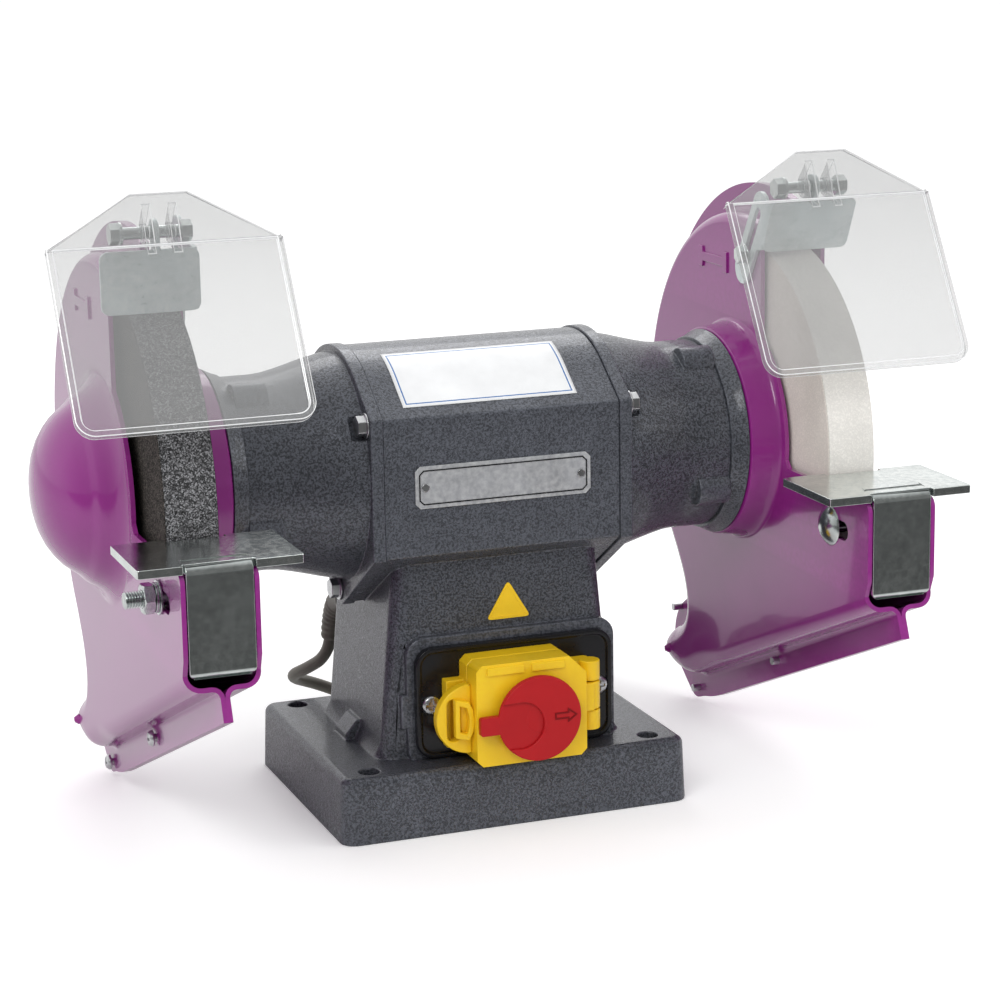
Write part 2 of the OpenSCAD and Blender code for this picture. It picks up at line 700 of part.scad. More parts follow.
// ---- Wheels, shaft and clamping parts
wheel_x = 166;
module shaft() {
    color(steel) {
        rod_x(-100, 0, axis_z, 10, 200);
        rod_x(-130, 0, axis_z, 8.5, 260);
        rod_x(-199, 0, axis_z, 8, 398);
    }
}
module rotor_core() {
    color([0.55, 0.56, 0.58]) difference() {
        union() {
            rod_x(-35, 0, axis_z, 29.6, 70);
            rod_x(-44, 0, axis_z, 27, 88);
        }
        rod_x(-50, 0, axis_z, 10.02, 100);
    }
}
module wheel_body() {
    translate([0, 0, axis_z]) turned_x(wheel_x - wheel_t / 2) polygon([[8.04, 0], [wheel_d / 2 - 0.8, 0],
        [wheel_d / 2, 0.8], [wheel_d / 2, wheel_t - 0.8], [wheel_d / 2 - 0.8, wheel_t], [8.04, wheel_t]]);
}
module wheel_left() {
    color([0.42, 0.42, 0.44]) on_side(-1) wheel_body();
}
module wheel_right() {
    color([0.93, 0.90, 0.85]) on_side(1) wheel_body();
}
module flange_pair() {
    inner_x = wheel_x - wheel_t / 2;
    outer_x = wheel_x + wheel_t / 2;
    translate([0, 0, axis_z]) turned_x(0) polygon([[8.54, 130], [13, 130], [13, inner_x - 7], [36, inner_x - 4.5],
        [37, inner_x - 3.5], [37, inner_x], [26, inner_x], [25, inner_x - 1.2], [8.04, inner_x - 1.2], [8.04, 131], [8.54, 130.5]]);
    translate([0, 0, axis_z]) turned_x(0) polygon([[8.04, outer_x + 1.2], [25, outer_x + 1.2], [26, outer_x],
        [37, outer_x], [37, outer_x + 3.5], [36, outer_x + 4.5], [13, outer_x + 7], [8.04, outer_x + 7]]);
}
module wheel_flanges_left() {
    color(steel) on_side(-1) flange_pair();
}
module wheel_flanges_right() {
    color(steel) on_side(1) flange_pair();
}
module shaft_nut() {
    translate([wheel_x + wheel_t / 2 + 7, 0, axis_z]) rotate([0, 90, 0]) linear_extrude(height = 10)
        difference() {
            hexagon(24);
            circle(8.04);
        }
}
module wheel_nut_left() {
    color(steel) on_side(-1) shaft_nut();
}
module wheel_nut_right() {
    color(steel) on_side(1) shaft_nut();
}

// ---- Tool rests, with their clamping bolts
rest_bolt_y = -110;
rest_bolt_z = 144.5;
rest_cx = 166.2;
rest_back_y = -99;
rest_tab_hw = 15.2;
rest_tab_z = 116;
bolt_x = seam_x - guard_hw - 0.3;
nut_x = seam_x + guard_hw + 0.3;
module rest_shape() {
    lug_x = seam_x + guard_hw - sheet_t - 0.4;
    difference() {
        union() {
            translate([0, 0, rest_z - rest_t]) linear_extrude(height = rest_t)
                round_rect([rest_cx - rest_w / 2, -rest_front], [rest_cx + rest_w / 2, rest_back_y], 1.5);
            // Tab closing the chute
            translate([0, -rest_front + 0.6, 0]) rotate([-90, 0, 0]) mirror([0, 1, 0])
                linear_extrude(height = 3.2) round_rect([seam_x - rest_tab_hw, rest_tab_z],
                    [seam_x + rest_tab_hw, rest_z - 1], 3);
            // Side lug that takes the bolt
            plate_x(lug_x - 3, 3) difference() {
                round_rect([-rest_front + 1, rest_bolt_z - 14], [rest_bolt_y + 9.5, rest_z - 1], 6);
                translate([rest_bolt_y, rest_bolt_z]) circle(4.1);
            }
        }
        // Clearance round the wheel
        translate([wheel_x - wheel_t / 2 - 2, rest_back_y - 3.6, rest_z - rest_t - 1])
            cube([wheel_t + 4, 10.5, rest_t + 2]);
        // Relief notches beside the bend
        for (sx = [-1, 1]) translate([seam_x + sx * (rest_tab_hw + 1.4) - 1.2, -rest_front - 1, rest_z - rest_t - 1])
            cube([2.4, 6, rest_t + 2]);
    }
}
module rest_bolt_shape() {
    rod_x(bolt_x - 0.2, rest_bolt_y, rest_bolt_z, 4, nut_x + 16 - bolt_x);
    translate([bolt_x - 0.1, rest_bolt_y - 4, rest_bolt_z - 4]) cube([2.4, 8, 8]);
    translate([0, rest_bolt_y, rest_bolt_z]) intersection() {
        rod_x(bolt_x - 4.8, 0, 0, 10, 4.8);
        translate([bolt_x - 4.8 + 12.8, 0, 0]) sphere(12.8);
    }
}
module rest_nut_shape() {
    translate([nut_x, rest_bolt_y, rest_bolt_z]) rotate([0, 90, 0]) {
        linear_extrude(height = 1.5) difference() {
            circle(8);
            circle(4);
        }
        translate([0, 0, 1.5]) linear_extrude(height = 2) difference() {
            circle(7);
            circle(4);
        }
        translate([0, 0, 3.5]) linear_extrude(height = 6.5) difference() {
            hexagon(13);
            circle(4);
        }
    }
}
module tool_rest_left() {
    color(zinc) on_side(-1) rest_shape();
}
module tool_rest_right() {
    color(zinc) on_side(1) rest_shape();
}
module rest_bolt_left() {
    color(zinc) on_side(-1) rest_bolt_shape();
}
module rest_bolt_right() {
    color(zinc) on_side(1) rest_bolt_shape();
}
module rest_nut_left() {
    color(zinc) on_side(-1) rest_nut_shape();
}
module rest_nut_right() {
    color(zinc) on_side(1) rest_nut_shape();
}

// ---- Spark deflectors, which carry the eye shields
deflector_screw_at = [-19, 266];
plate_len = 29;
plate_half = 23.3;
leg_x = seam_x - guard_hw - 0.3;
// Right: the front plate leans forward by 25 degrees; left: it stands upright
right_foot = [-37.4, 270];
right_lean = 25;
left_foot = [-53.4, 263.6];
left_lean = 0;
left_crease = [-62.7, 295.2];
right_crease = [-63.5, 297.2];
left_tilt = -shield_tilt - 0.7;
right_tilt = -shield_tilt + 0.9;
shield_pivot = [8.7, 11.2];
function turned(p, a) = [p[0] * cos(a) - p[1] * sin(a), p[0] * sin(a) + p[1] * cos(a)];
left_pivot = left_crease + turned(shield_pivot, left_tilt);
right_pivot = right_crease + turned(shield_pivot, right_tilt);
ear_r = 6.2;
right_shield_cx = 170;
left_shield_cx = -163.8;

module leaning(foot, lean) {
    translate([0, foot[0], foot[1]]) rotate([lean, 0, 0]) children();
}
// side -1 puts the leg at the plate's inner edge on the left of the machine
module deflector_shape(side, foot, lean, pivot, ear_x) {
    leg_in = side * leg_x;
    slot_a = deflector_screw_at;
    slot_dir = [-sin(lean + 7), cos(lean + 7)];
    difference() {
        union() {
            // Front plate
            leaning(foot, lean) translate([side * (leg_x - 2.7 + plate_half), 0, 0]) rotate([90, 0, 0])
                linear_extrude(height = 2) round_rect([-plate_half, 0], [plate_half, plate_len], 4);
            // Leg against the guard's side
            plate_x(side > 0 ? leg_in - 2.2 : leg_in, 2.2) union() {
                slot_2d(slot_a - 9 * slot_dir, slot_a + 30 * slot_dir, 8);
                polygon([foot + [0, 0.2], foot + plate_len * [-sin(lean), cos(lean)] + [0, -0.2],
                    slot_a + 30 * slot_dir, slot_a + 2 * slot_dir]);
            }
            // Ear for the shield's pivot
            plate_x(ear_x, 2.4) {
                polygon([foot + (plate_len - 3) * [-sin(lean), cos(lean)] + [-2, 0], pivot + [-ear_r, 0], pivot + [ear_r, 0],
                    foot + (plate_len - 3) * [-sin(lean), cos(lean)] + [5, -0.3]]);
                translate(pivot) circle(ear_r);
            }
        }
        plate_x(side > 0 ? leg_in - 4 : leg_in - 1, 5) slot_2d(slot_a - 0 * slot_dir, slot_a + 26 * slot_dir, 2.9);
        rod_x(ear_x - 1, pivot[0], pivot[1], 3, 5);
    }
}
module deflector_left() {
    color(zinc) deflector_shape(-1, left_foot, left_lean, left_pivot, left_shield_cx - 3);
}
module deflector_right() {
    color(zinc) deflector_shape(1, right_foot, right_lean, right_pivot, right_shield_cx - 3);
}
module deflector_screw_shape() {
    rod_x(leg_x - 3, deflector_screw_at[0], deflector_screw_at[1], 2.4, 5.8);
    translate([leg_x - 2.6, deflector_screw_at[0], deflector_screw_at[1]]) rotate([0, -90, 0]) {
        cylinder(r = 5.4, h = 1);
        translate([0, 0, 1]) linear_extrude(height = 3.4) hexagon(8);
    }
}
module deflector_screw_left() {
    color(zinc) on_side(-1) deflector_screw_shape();
}
module deflector_screw_right() {
    color(zinc) on_side(1) deflector_screw_shape();
}
module pivot_bolt(cx, pivot) {
    rod_x(cx - 18, pivot[0], pivot[1], 2.9, 32.5);
    translate([cx - 18.6, pivot[0], pivot[1]]) rotate([0, 90, 0]) cylinder(r = 5.4, h = 1.4);
    translate([cx - 23, pivot[0], pivot[1]]) rotate([0, 90, 0]) linear_extrude(height = 4.5) hexagon(9);
    translate([cx + 10.4, pivot[0], pivot[1]]) rotate([0, 90, 0]) linear_extrude(height = 5) hexagon(9);
}
module visor_bolt_left() {
    color(zinc) pivot_bolt(left_shield_cx, left_pivot);
}
module visor_bolt_right() {
    color(zinc) pivot_bolt(right_shield_cx, right_pivot);
}

// ---- Eye shields
// Drawn upright, with its crease on the X axis
shield_fold = 9;
module shield_shape() {
    hw = shield_w / 2;
    ear_in = 4.4;
    difference() {
        union() {
            rotate([90, 0, 0]) translate([0, -shield_len, -shield_t / 2]) {
                linear_extrude(height = shield_t) pane_outline(hw, 0);
                linear_extrude(height = shield_t + 1.2) difference() {
                    pane_outline(hw, 0);
                    pane_outline(hw, 3);
                }
            }
            rotate([90 + shield_fold, 0, 0]) translate([0, 0, -shield_t / 2]) linear_extrude(height = shield_t)
                polygon([[-hw, 0], [hw, 0], [13.5, 24.8], [-13.5, 24.8]]);
            rod_x(-hw + 0.4, 0, 0, shield_t / 2 + 0.35, shield_w - 0.8);
            // Two moulded ears behind the crease
            for (x = [-ear_in - 3.4, ear_in]) plate_x(x, 3.4) {
                polygon([[0.2, -4], shield_pivot + [2, -5], shield_pivot + [2, 5], turned([0.2, 21], shield_fold)]);
                translate(shield_pivot) circle(5.2);
            }
        }
        rod_x(-20, shield_pivot[0], shield_pivot[1], 2.95, 40);
    }
}
module shield(cx, crease, tilt) {
    translate([cx, crease[0], crease[1]]) rotate([tilt, 0, 0]) shield_shape();
}
module pane_outline(hw, inset) {
    r = 9 - inset;
    translate([-hw + inset, inset + r]) square([2 * (hw - inset), shield_len - r - inset - (inset > 0 ? 0.5 : 0)]);
    translate([-hw + inset + r, inset]) square([2 * (hw - inset - r), r + 1]);
    for (sx = [-1, 1]) translate([sx * (hw - inset - r), inset + r]) circle(r);
}
module visor_left() {
    color([0.82, 0.84, 0.86, 0.45]) shield(left_shield_cx, left_crease, left_tilt);
}
module visor_right() {
    color([0.82, 0.84, 0.86, 0.45]) shield(right_shield_cx, right_crease, right_tilt);
}

// ---- Mains lead
cord_exit = [-46, 48, 90];
// A run of round cord along points, as one swept tube; radii gives one radius per point
function unit(v) = v / norm(v);
function run_dir(p, i) = i == 0 ? unit(p[1] - p[0]) : i == len(p) - 1 ? unit(p[i] - p[i - 1])
    : unit(unit(p[i] - p[i - 1]) + unit(p[i + 1] - p[i]));
function square_to(v, t) = unit(v - (v * t) * t);
function run_side(p, i) = square_to(i == 0 ? [0.31, -0.52, 0.8] : run_side(p, i - 1), run_dir(p, i));
module swept(points, radii, sides = 12) {
    n = len(points);
    rings = [for (i = [0:n - 1]) let (t = run_dir(points, i), u = run_side(points, i), w = cross(t, u))
        for (k = [0:sides - 1]) points[i] + radii[i] * (cos(k * 360 / sides) * u + sin(k * 360 / sides) * w)];
    walls = [for (i = [0:n - 2], k = [0:sides - 1]) [i * sides + k, (i + 1) * sides + k,
        (i + 1) * sides + (k + 1) % sides, i * sides + (k + 1) % sides]];
    ends = [[for (k = [0:sides - 1]) k], [for (k = [0:sides - 1]) n * sides - 1 - k]];
    tri = [for (q = walls) each [[q[0], q[1], q[2]], [q[0], q[2], q[3]]]];
    polyhedron(points = rings, faces = concat(tri, ends), convexity = 6);
}
module cord_run(points) swept(points, [for (p = points) cord_d / 2]);

// The coil: its turns go inwards on the bench and outwards again on top
coil_at = [40, 130];
coil_outer = 48;
coil_inner = 28.2;
coil_top_z = 9.9;
// Route from the terminals out through the sleeve and down to the coil, on the bench
sleeve_route = [[-46, 52, 90], [-46, 56, 89.4], [-46.3, 62.4, 87.4], [-46.9, 69, 83], [-47.7, 74, 76.8], [-48.5, 77, 69.6],
    [-49.2, 78.8, 62]];
sleeve_radii = [8, 7.8, 7.4, 6.8, 6.1, 5.5, 4.9];
lead_route = concat([[-19.5, 34.5, 54.6], [-20.4, 34.7, 62], [-26, 35.2, 72], [-37, 34.5, 84], [-45, 41, 89.6]], sleeve_route,
    [[-50.4, 80.9, 55], [-53.2, 84.9, 48.6], [-57.4, 91, 43.6], [-60.4, 97.4, 39.8], [-61.8, 104.4, 36.4],
        [-60.8, 111.4, 33], [-57.4, 118, 29.6], [-52, 123.4, 26.4], [-45, 127, 23], [-37.2, 128, 19.4], [-29.4, 126, 15.8],
        [-22, 121, 12.4], [-15, 113.8, 9.4], [-8.2, 105.6, 6.8], [-1.4, 97.6, 4.8], [6, 91, 3.6], [16, 85.8, 3.3],
        [28, 82.8, 3.3], [coil_at[0], coil_at[1] - coil_outer, 3.3]]);
tail_route = [[coil_at[0], coil_at[1] - coil_outer, coil_top_z], [54, 82, 9.9], [67, 82, 8.4], [80, 82.6, 5],
    [92, 86, 3.6], [102, 93.4, 5], [108.4, 103, 9], [110, 112, 13.6], [110, 120, 16.4]];

module cord_gland() {
    color(black_plastic) {
        rod_y(cord_exit[0], pedestal_hd + 0.7, cord_exit[2], 8.9, 3.6);
        rod_y(cord_exit[0], pedestal_hd - 8, cord_exit[2], 5.8, 10);
        swept(sleeve_route, sleeve_radii);
    }
}
module cord_lead() {
    color(cord_grey) cord_run(lead_route);
}
module cord_coil() {
    tube_r = cord_d / 2;
    color(cord_grey) translate([coil_at[0], coil_at[1], 0.04]) rotate_extrude()
        round_rect([coil_inner - tube_r, 0], [coil_outer + tube_r, coil_top_z + tube_r], 3);
}
module cord_tail() {
    color(cord_grey) cord_run(tail_route);
}
plug_r = 17.5;
plug_at = [110, 120];
module mains_plug() {
    color(black_plastic) {
        rod_y(plug_at[0], plug_at[1] - 6, plug_r + 0.1, 5.4, 8);
        rod_y(plug_at[0], plug_at[1], plug_r + 0.1, 9.5, 22);
        rod_y(plug_at[0], plug_at[1] + 20, plug_r + 0.1, plug_r, 16);
        for (sx = [-1, 1]) rod_y(plug_at[0] + sx * 9.5, plug_at[1] + 35, plug_r + 0.1, 2.4, 20);
    }
}

// ---- Drawing
main_casting();
bottom_cover();
bottom_cover_screws();
end_bell_left();
end_bell_right();
bell_bolts();
stator();
windings();
bearing_outer_rings();
run_capacitor();
capacitor_clamp();
terminal_block();
name_plate();
name_plate_rivets();
switch_plate();
switch_screws();
switch_housing();
switch_module();
lid_hinge_pin();
guard_inner_left();
guard_inner_right();
guard_outer_left();
guard_outer_right();
guard_seam_screws_left();
guard_seam_screws_right();
guard_mount_screws();
deflector_screw_left();
deflector_screw_right();
cord_gland();
cord_lead();
cord_coil();
cord_tail();
mains_plug();
shaft();
rotor_core();
bearing_inner_rings();
wheel_left();
wheel_right();
wheel_flanges_left();
wheel_flanges_right();
wheel_nut_left();
wheel_nut_right();
tool_rest_left();
tool_rest_right();
rest_bolt_left();
rest_bolt_right();
rest_nut_left();
rest_nut_right();
deflector_left();
deflector_right();
visor_bolt_left();
visor_bolt_right();
visor_left();
visor_right();
switch_lid();
lid_latch();
stop_pad();
start_button();
stop_button();
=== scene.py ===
"""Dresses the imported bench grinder: camera, mains lead, painted castings and guards,
grit wheels, zinc-plated rests and brackets, clear shields, the switch and the studio.
Lengths in the tables are millimetres in the part's own frame: +X along the shaft, +Z up."""

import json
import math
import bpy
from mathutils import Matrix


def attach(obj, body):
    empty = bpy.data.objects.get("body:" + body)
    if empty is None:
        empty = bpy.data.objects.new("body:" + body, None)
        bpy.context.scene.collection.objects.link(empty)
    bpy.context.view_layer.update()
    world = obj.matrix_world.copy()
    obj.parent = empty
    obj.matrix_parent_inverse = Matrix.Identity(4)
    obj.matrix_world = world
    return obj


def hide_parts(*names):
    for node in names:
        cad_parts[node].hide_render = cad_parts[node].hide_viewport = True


bl_info = {
    "name": "Bench grinder dressing",
    "version": (1, 1, 0),
    "blender": (4, 5, 0),
    "location": "View3D > Sidebar > Grinder",
    "description": "Adds the grinder's finished pieces, materials, light and camera",
    "category": "Object",
}

import bmesh
import bpy
from bpy.props import FloatProperty, FloatVectorProperty, PointerProperty
from mathutils import Matrix, Vector
from mathutils.geometry import tessellate_polygon

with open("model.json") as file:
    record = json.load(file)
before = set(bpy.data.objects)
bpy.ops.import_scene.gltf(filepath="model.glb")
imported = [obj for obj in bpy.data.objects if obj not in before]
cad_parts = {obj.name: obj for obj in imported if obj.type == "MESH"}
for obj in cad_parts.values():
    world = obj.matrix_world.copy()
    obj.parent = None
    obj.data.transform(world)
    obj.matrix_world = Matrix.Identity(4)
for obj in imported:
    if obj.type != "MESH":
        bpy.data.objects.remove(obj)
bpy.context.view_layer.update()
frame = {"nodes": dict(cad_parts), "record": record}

MM = 0.001
SIDES = (("left", -1), ("right", 1))

# Camera
CAMERA_AT = Vector((-0.4659, -1.3062, 0.4653))
CAMERA_YAW = math.radians(-20.3626)
CAMERA_PITCH = math.radians(12.8867)
CAMERA_ROLL = math.radians(-0.9543)

# Shaft, motor housing and the collars at the end bells' mouths (radius, height)
AXIS_Z = 172.6
ARCH_R = 59.0
ARCH_END = math.radians(36)
COLLAR_X = 125.2
COLLAR = ((30.0, 0.0), (49.4, 0.0), (50.1, 2.4), (51.2, 5.0), (52.6, 7.4), (52.9, 8.2), (30.0, 8.2))

# Label on the housing's top, plate over the switch and triangular plate
LABEL_X = (-48.5, 41.0)
LABEL_TURN = (-0.97, -0.30)
LABEL_INSET = 1.8
LABEL_LIFT = 0.12
NAME_RIM = (
    (-41.4, 161.7), (40.9, 161.7), (43.1, 163.9), (43.1, 176.5), (40.9, 178.7), (-41.4, 178.7),
    (-43.6, 176.5), (-43.6, 163.9),
)
NAME_RIM_Y = (-57.95, -57.55)
TRIANGLE = ((-7.2, 98.4), (15.9, 98.4), (4.35, 117.6))
TRIANGLE_Y = (-48.75, -48.02)
TRIANGLE_RIM_Y = (-48.95, -48.6)
RIM_WIDTH = 0.55

# Guards
SEAM_X = 167.0
GUARD_HALF = 17.8
GUARD_R = 112.0
SHEET = 2.2
MOUTH_Y = -31.6
MOUTH_R = 60.4
CHUTE_TOP = 163.2
CHUTE_FRONT = -149.5
CHUTE_SLOPE = math.tan(math.radians(22.4))
REAR_POINTS = (
    (97.0, 116.6), (88.0, 100.0), (78.6, 86.5), (71.2, 74.5), (68.4, 63.5), (71.2, 54.4), (79.0, 47.8),
    (88.0, 43.2), (94.2, 38.4), (96.3, 32.6), (94.2, 26.8), (88.0, 22.9), (79.0, 21.0), (69.0, 20.8),
    (61.0, 22.8),
)
BEND_BY_HEIGHT = ((200.0, 6.0), (120.0, 7.0), (88.0, 10.5), (60.0, 12.5), (40.0, 12.0), (18.0, 10.0))
OUTER_BOSS = (
    (58.0, 17.8), (56.4, 18.05), (54.0, 18.9), (51.2, 20.6), (48.8, 22.9), (46.9, 25.6), (45.4, 28.0),
    (43.8, 29.7), (42.2, 31.0), (40.8, 32.6), (38.8, 35.4), (35.9, 39.0), (31.8, 42.6), (26.6, 46.0),
    (20.6, 48.7), (14.0, 50.5), (7.0, 51.5), (0.0, 51.9),
)
INNER_BOSS = (
    (58.0, 17.8), (56.8, 18.2), (55.8, 19.6), (55.0, 22.6), (54.2, 28.0), (53.6, 32.4), (52.6, 33.2),
    (20.0, 33.4),
)
GUARD_MARK = (
    (7.5, 252.6), (12.2, 252.6), (12.8, 255.6), (36.7, 255.6), (37.3, 252.6), (42.0, 252.6),
    (42.0, 263.4), (37.3, 263.4), (36.7, 260.4), (12.8, 260.4), (12.2, 263.4), (7.5, 263.4),
)

# Tool rests
REST_TOP = 167.7
REST_T = 4.0
REST_X = (128.45, 203.95)
REST_Y = (-150.5, -99.0)
TAB_X = (151.8, 182.2)
TAB_Y = (-150.1, -146.8)
TAB_LOW = 116.0
BEND_AT = (-144.9, REST_TOP - 5.2)
BEND_R = (1.9, 5.2)
BOLT_Y = -110.0
BOLT_Z = 144.5
BOLT_GAP = 0.3
BOLT_HEAD = (0.6, 2.0, 3.6, 5.2, 6.8, 8.2, 9.3, 10.0)
HEAD_R = 12.8
THREAD_PITCH = 1.25
SLOT_Y = (BOLT_Y - 14, BOLT_Y + 4)
SLOT_R = 4.7

# Under the rest bolt's nut: (outer radius, bore radius, thickness)
WASHER = (8.0, 4.1, 1.1)
LOCK_WASHER = (7.0, 4.1, 1.5)
LOCK_WASHER_AT = 1.15
NUT_AT = 2.7

# Switch
PLATE_FRONT = -55.0
PLATE_Y = (-52.0, -56.4)
PLATE_BORDER = 2.3
HINGE_AT = (38.4, -69.5)
KNUCKLE_R = (1.7, 5.2)
KNUCKLES = (("low", "machine", 44.0, 54.0), ("mid", "lid", 54.5, 68.5), ("top", "machine", 69.0, 79.0))
HASP = (
    (-34.0, 49.0), (-27.0, 47.2), (-24.9, 51.5), (-24.2, 57.0), (-24.9, 62.5), (-27.0, 66.8), (-34.0, 68.2),
)
HASP_Y = (-76.6, -72.2)
HASP_GAP = (
    (-31.6, 51.8), (-28.0, 50.6), (-27.2, 54.0), (-26.9, 57.0), (-27.2, 60.0), (-28.0, 63.4), (-31.6, 65.0),
)

# Stop pad: its levels along y, then its outlines
STEM_Y = -74.4
DISC_Y = -83.4
PULL_Y = (-86.2, -82.6)
CHEEK_Y = (-87.85, -86.2)
ARROW_Y = (-88.2, -87.6)
PAD_AT = (5.6, 57.5)
PAD_DISC = ((19.0, 0.0), (20.6, 0.5), (21.3, 1.3), (21.3, 2.9), (16.0, 2.9))
PAD_STEM = ((4.6, 0.0), (4.6, 4.4), (9.0, 4.4), (9.0, 5.6), (7.1, 5.6), (7.1, 12.0))
THUMB_R = 11.7
CHEEK_R = 21.2
ARROW = ((13.0, 56.2), (19.6, 56.2), (19.6, 54.2), (24.6, 57.9), (19.6, 61.6), (19.6, 59.6), (13.0, 59.6))

# Mains lead: route from the gland to the coil, and from the coil to the plug
CORD_EXIT = (-46.0, 48.0, 90.0)
SLEEVE_ROUTE = (
    (-46.0, 52.0, 90.0), (-46.0, 56.0, 89.4), (-46.3, 62.4, 87.4), (-46.9, 69.0, 83.0), (-47.7, 74.0, 76.8),
    (-48.5, 77.0, 69.6), (-49.2, 78.8, 62.0),
)
SLEEVE_RADII = (8.0, 7.8, 7.4, 6.8, 6.1, 5.5, 4.9)
LEAD_ROUTE = (
    (-50.4, 80.9, 55.0), (-53.2, 84.9, 48.6), (-57.4, 91.0, 43.6), (-60.4, 97.4, 39.8),
    (-61.8, 104.4, 36.4), (-60.8, 111.4, 33.0), (-57.4, 118.0, 29.6), (-52.0, 123.4, 26.4),
    (-45.0, 127.0, 23.0), (-37.2, 128.0, 19.4), (-29.4, 126.0, 15.8), (-22.0, 121.0, 12.4),
    (-15.0, 113.8, 9.4), (-8.2, 105.6, 6.8), (-1.4, 97.6, 4.8), (6.0, 91.0, 3.6), (16.0, 85.8, 3.3),
    (28.0, 82.8, 3.3),
)
GLAND = ((8.9, 0.0), (8.9, 2.6), (8.5, 3.4), (7.6, 3.9), (4.0, 4.1))
COIL_AT = (40.0, 130.0)
COIL_TURNS = 3
COIL_STEPS = 24
COIL_OUTER = 48.0
COIL_INNER = 28.2
COIL_LOW = 3.3
COIL_HIGH = 9.9
TAIL_ROUTE = (
    (54.0, 82.0, 9.9), (67.0, 82.0, 8.4), (80.0, 82.6, 5.0), (92.0, 86.0, 3.6), (102.0, 93.4, 5.0),
    (108.4, 103.0, 9.0), (110.0, 112.0, 13.6), (110.0, 120.0, 16.4),
)

# Stage: the surround's strength as light and, to gloss, from the front; the floor's tones,
# and the depth over which gloss sees the front of the floor as a dark card
SURROUND_LIGHT = 0.84
SURROUND_FRONT = 0.18
SURROUND_TURN = (-0.70, 0.20)
FLOOR_TONE = 0.80
FLOOR_SEEN = 0.98
FLOOR_GLOW = 0.22
CARD_TONE = 0.085
CARD_Y = (-420.0, -230.0)


# ------------------------------------------------------------------ settings
def colour(name, description, value):
    return FloatVectorProperty(name=name, description=description, default=value, min=0, max=1,
                               subtype="COLOR", size=3)


def length(name, description, value, low, high):
    return FloatProperty(name=name, description=description, default=value, min=low, max=high,
                         subtype="DISTANCE", unit="LENGTH", precision=5)


class GrinderSizes(bpy.types.PropertyGroup):
    """Sizes of the grinder's finish, in metres"""
    casting_edge: length("Casting edge", "Radius on the castings' edges", 0.0009, 0.0001, 0.002)
    sheet_edge: length("Sheet edge", "Radius on the guards' cut edges", 0.0008, 0.0001, 0.0011)
    plastic_edge: length("Plastic edge", "Radius on the switch's moulded edges", 0.0007, 0.0001, 0.0015)
    plated_edge: length("Plated edge", "Radius on the plated parts' edges", 0.0004, 0.0001, 0.001)
    cord_diameter: length("Lead diameter", "Diameter of the mains lead", 0.0065, 0.005, 0.008)
    tie_width: length("Tie width", "Width of the tie on the coiled lead", 0.010, 0.004, 0.02)
    label_line: length("Label line", "Width of the line round the blank label", 0.0007, 0.0002, 0.003)
    lens: FloatProperty(name="Lens", description="Focal length on a 36 mm sensor", default=101.59,
                        min=20, max=300)
    key_power: FloatProperty(name="Key lamp", description="Power of the key lamp", default=14.0,
                             min=0, max=200, subtype="POWER", unit="POWER")


class GrinderColours(bpy.types.PropertyGroup):
    """Colours of the grinder's finishes"""
    casting: colour("Castings", "Middle tone of the hammered paint", (0.074, 0.079, 0.093))
    guard: colour("Guards", "Powder coat of the wheel guards", (0.255, 0.020, 0.210))
    zinc: colour("Zinc plate", "Tone of the plated rests and brackets", (0.60, 0.65, 0.64))
    yellow: colour("Switch yellow", "Lid, latch and housing of the switch", (0.92, 0.59, 0.014))
    red: colour("Stop red", "Stop pad and stop button", (0.47, 0.010, 0.014))
    black: colour("Switch plate", "Black moulded plate", (0.008, 0.008, 0.010))
    cord: colour("Mains lead", "Sheath of the mains lead", (0.160, 0.155, 0.122))
    shield: colour("Shields", "Tint of the clear shields", (0.44, 0.445, 0.445))
    label: colour("Label", "Paper of the blank label", (0.86, 0.87, 0.88))
    label_line: colour("Label line", "Line round the blank label", (0.05, 0.16, 0.42))
    grey_wheel: colour("Grey wheel", "Middle tone of the grey grit", (0.088, 0.088, 0.092))
    white_wheel: colour("White wheel", "Middle tone of the white grit", (0.86, 0.835, 0.79))


def sizes():
    return bpy.context.scene.grinder_sizes


def colours():
    return bpy.context.scene.grinder_colours


# ---------------------------------------------------------------- node helpers
def new_tree(name):
    """A material's node tree, with its output and shader."""
    mat = bpy.data.materials.new(name)
    mat.use_nodes = True
    tree = mat.node_tree
    tree.nodes.clear()
    out = tree.nodes.new("ShaderNodeOutputMaterial")
    bsdf = tree.nodes.new("ShaderNodeBsdfPrincipled")
    tree.links.new(bsdf.outputs[0], out.inputs[0])
    return mat, tree, bsdf


def node(tree, kind, inputs=None, **settings):
    """Adds a node, sets its properties, and sets or links its inputs by name or index."""
    made = tree.nodes.new(kind)
    for key, value in settings.items():
        setattr(made, key, value)
    for key, value in (inputs or {}).items():
        socket = made.inputs[key]
        if isinstance(value, bpy.types.NodeSocket):
            tree.links.new(value, socket)
        else:
            socket.default_value = value
    return made


def ramp(tree, source, stops, interpolation="LINEAR"):
    """A colour ramp over stops of (position, grey or rgb)."""
    made = node(tree, "ShaderNodeValToRGB", {0: source})
    made.color_ramp.interpolation = interpolation
    while len(made.color_ramp.elements) < len(stops):
        made.color_ramp.elements.new(0.5)
    for element, (place, value) in zip(made.color_ramp.elements, stops):
        element.position = place
        rgb = (value,) * 3 if isinstance(value, (int, float)) else value
        element.color = (*rgb, 1)
    return made.outputs[0]


def mapped(tree, stretch=(1, 1, 1)):
    """Object coordinates in millimetres, stretched along the axes."""
    coords = node(tree, "ShaderNodeTexCoord").outputs["Object"]
    factor = tuple(1000 * s for s in stretch)
    return node(tree, "ShaderNodeVectorMath", {0: coords, 1: factor}, operation="MULTIPLY").outputs[0]


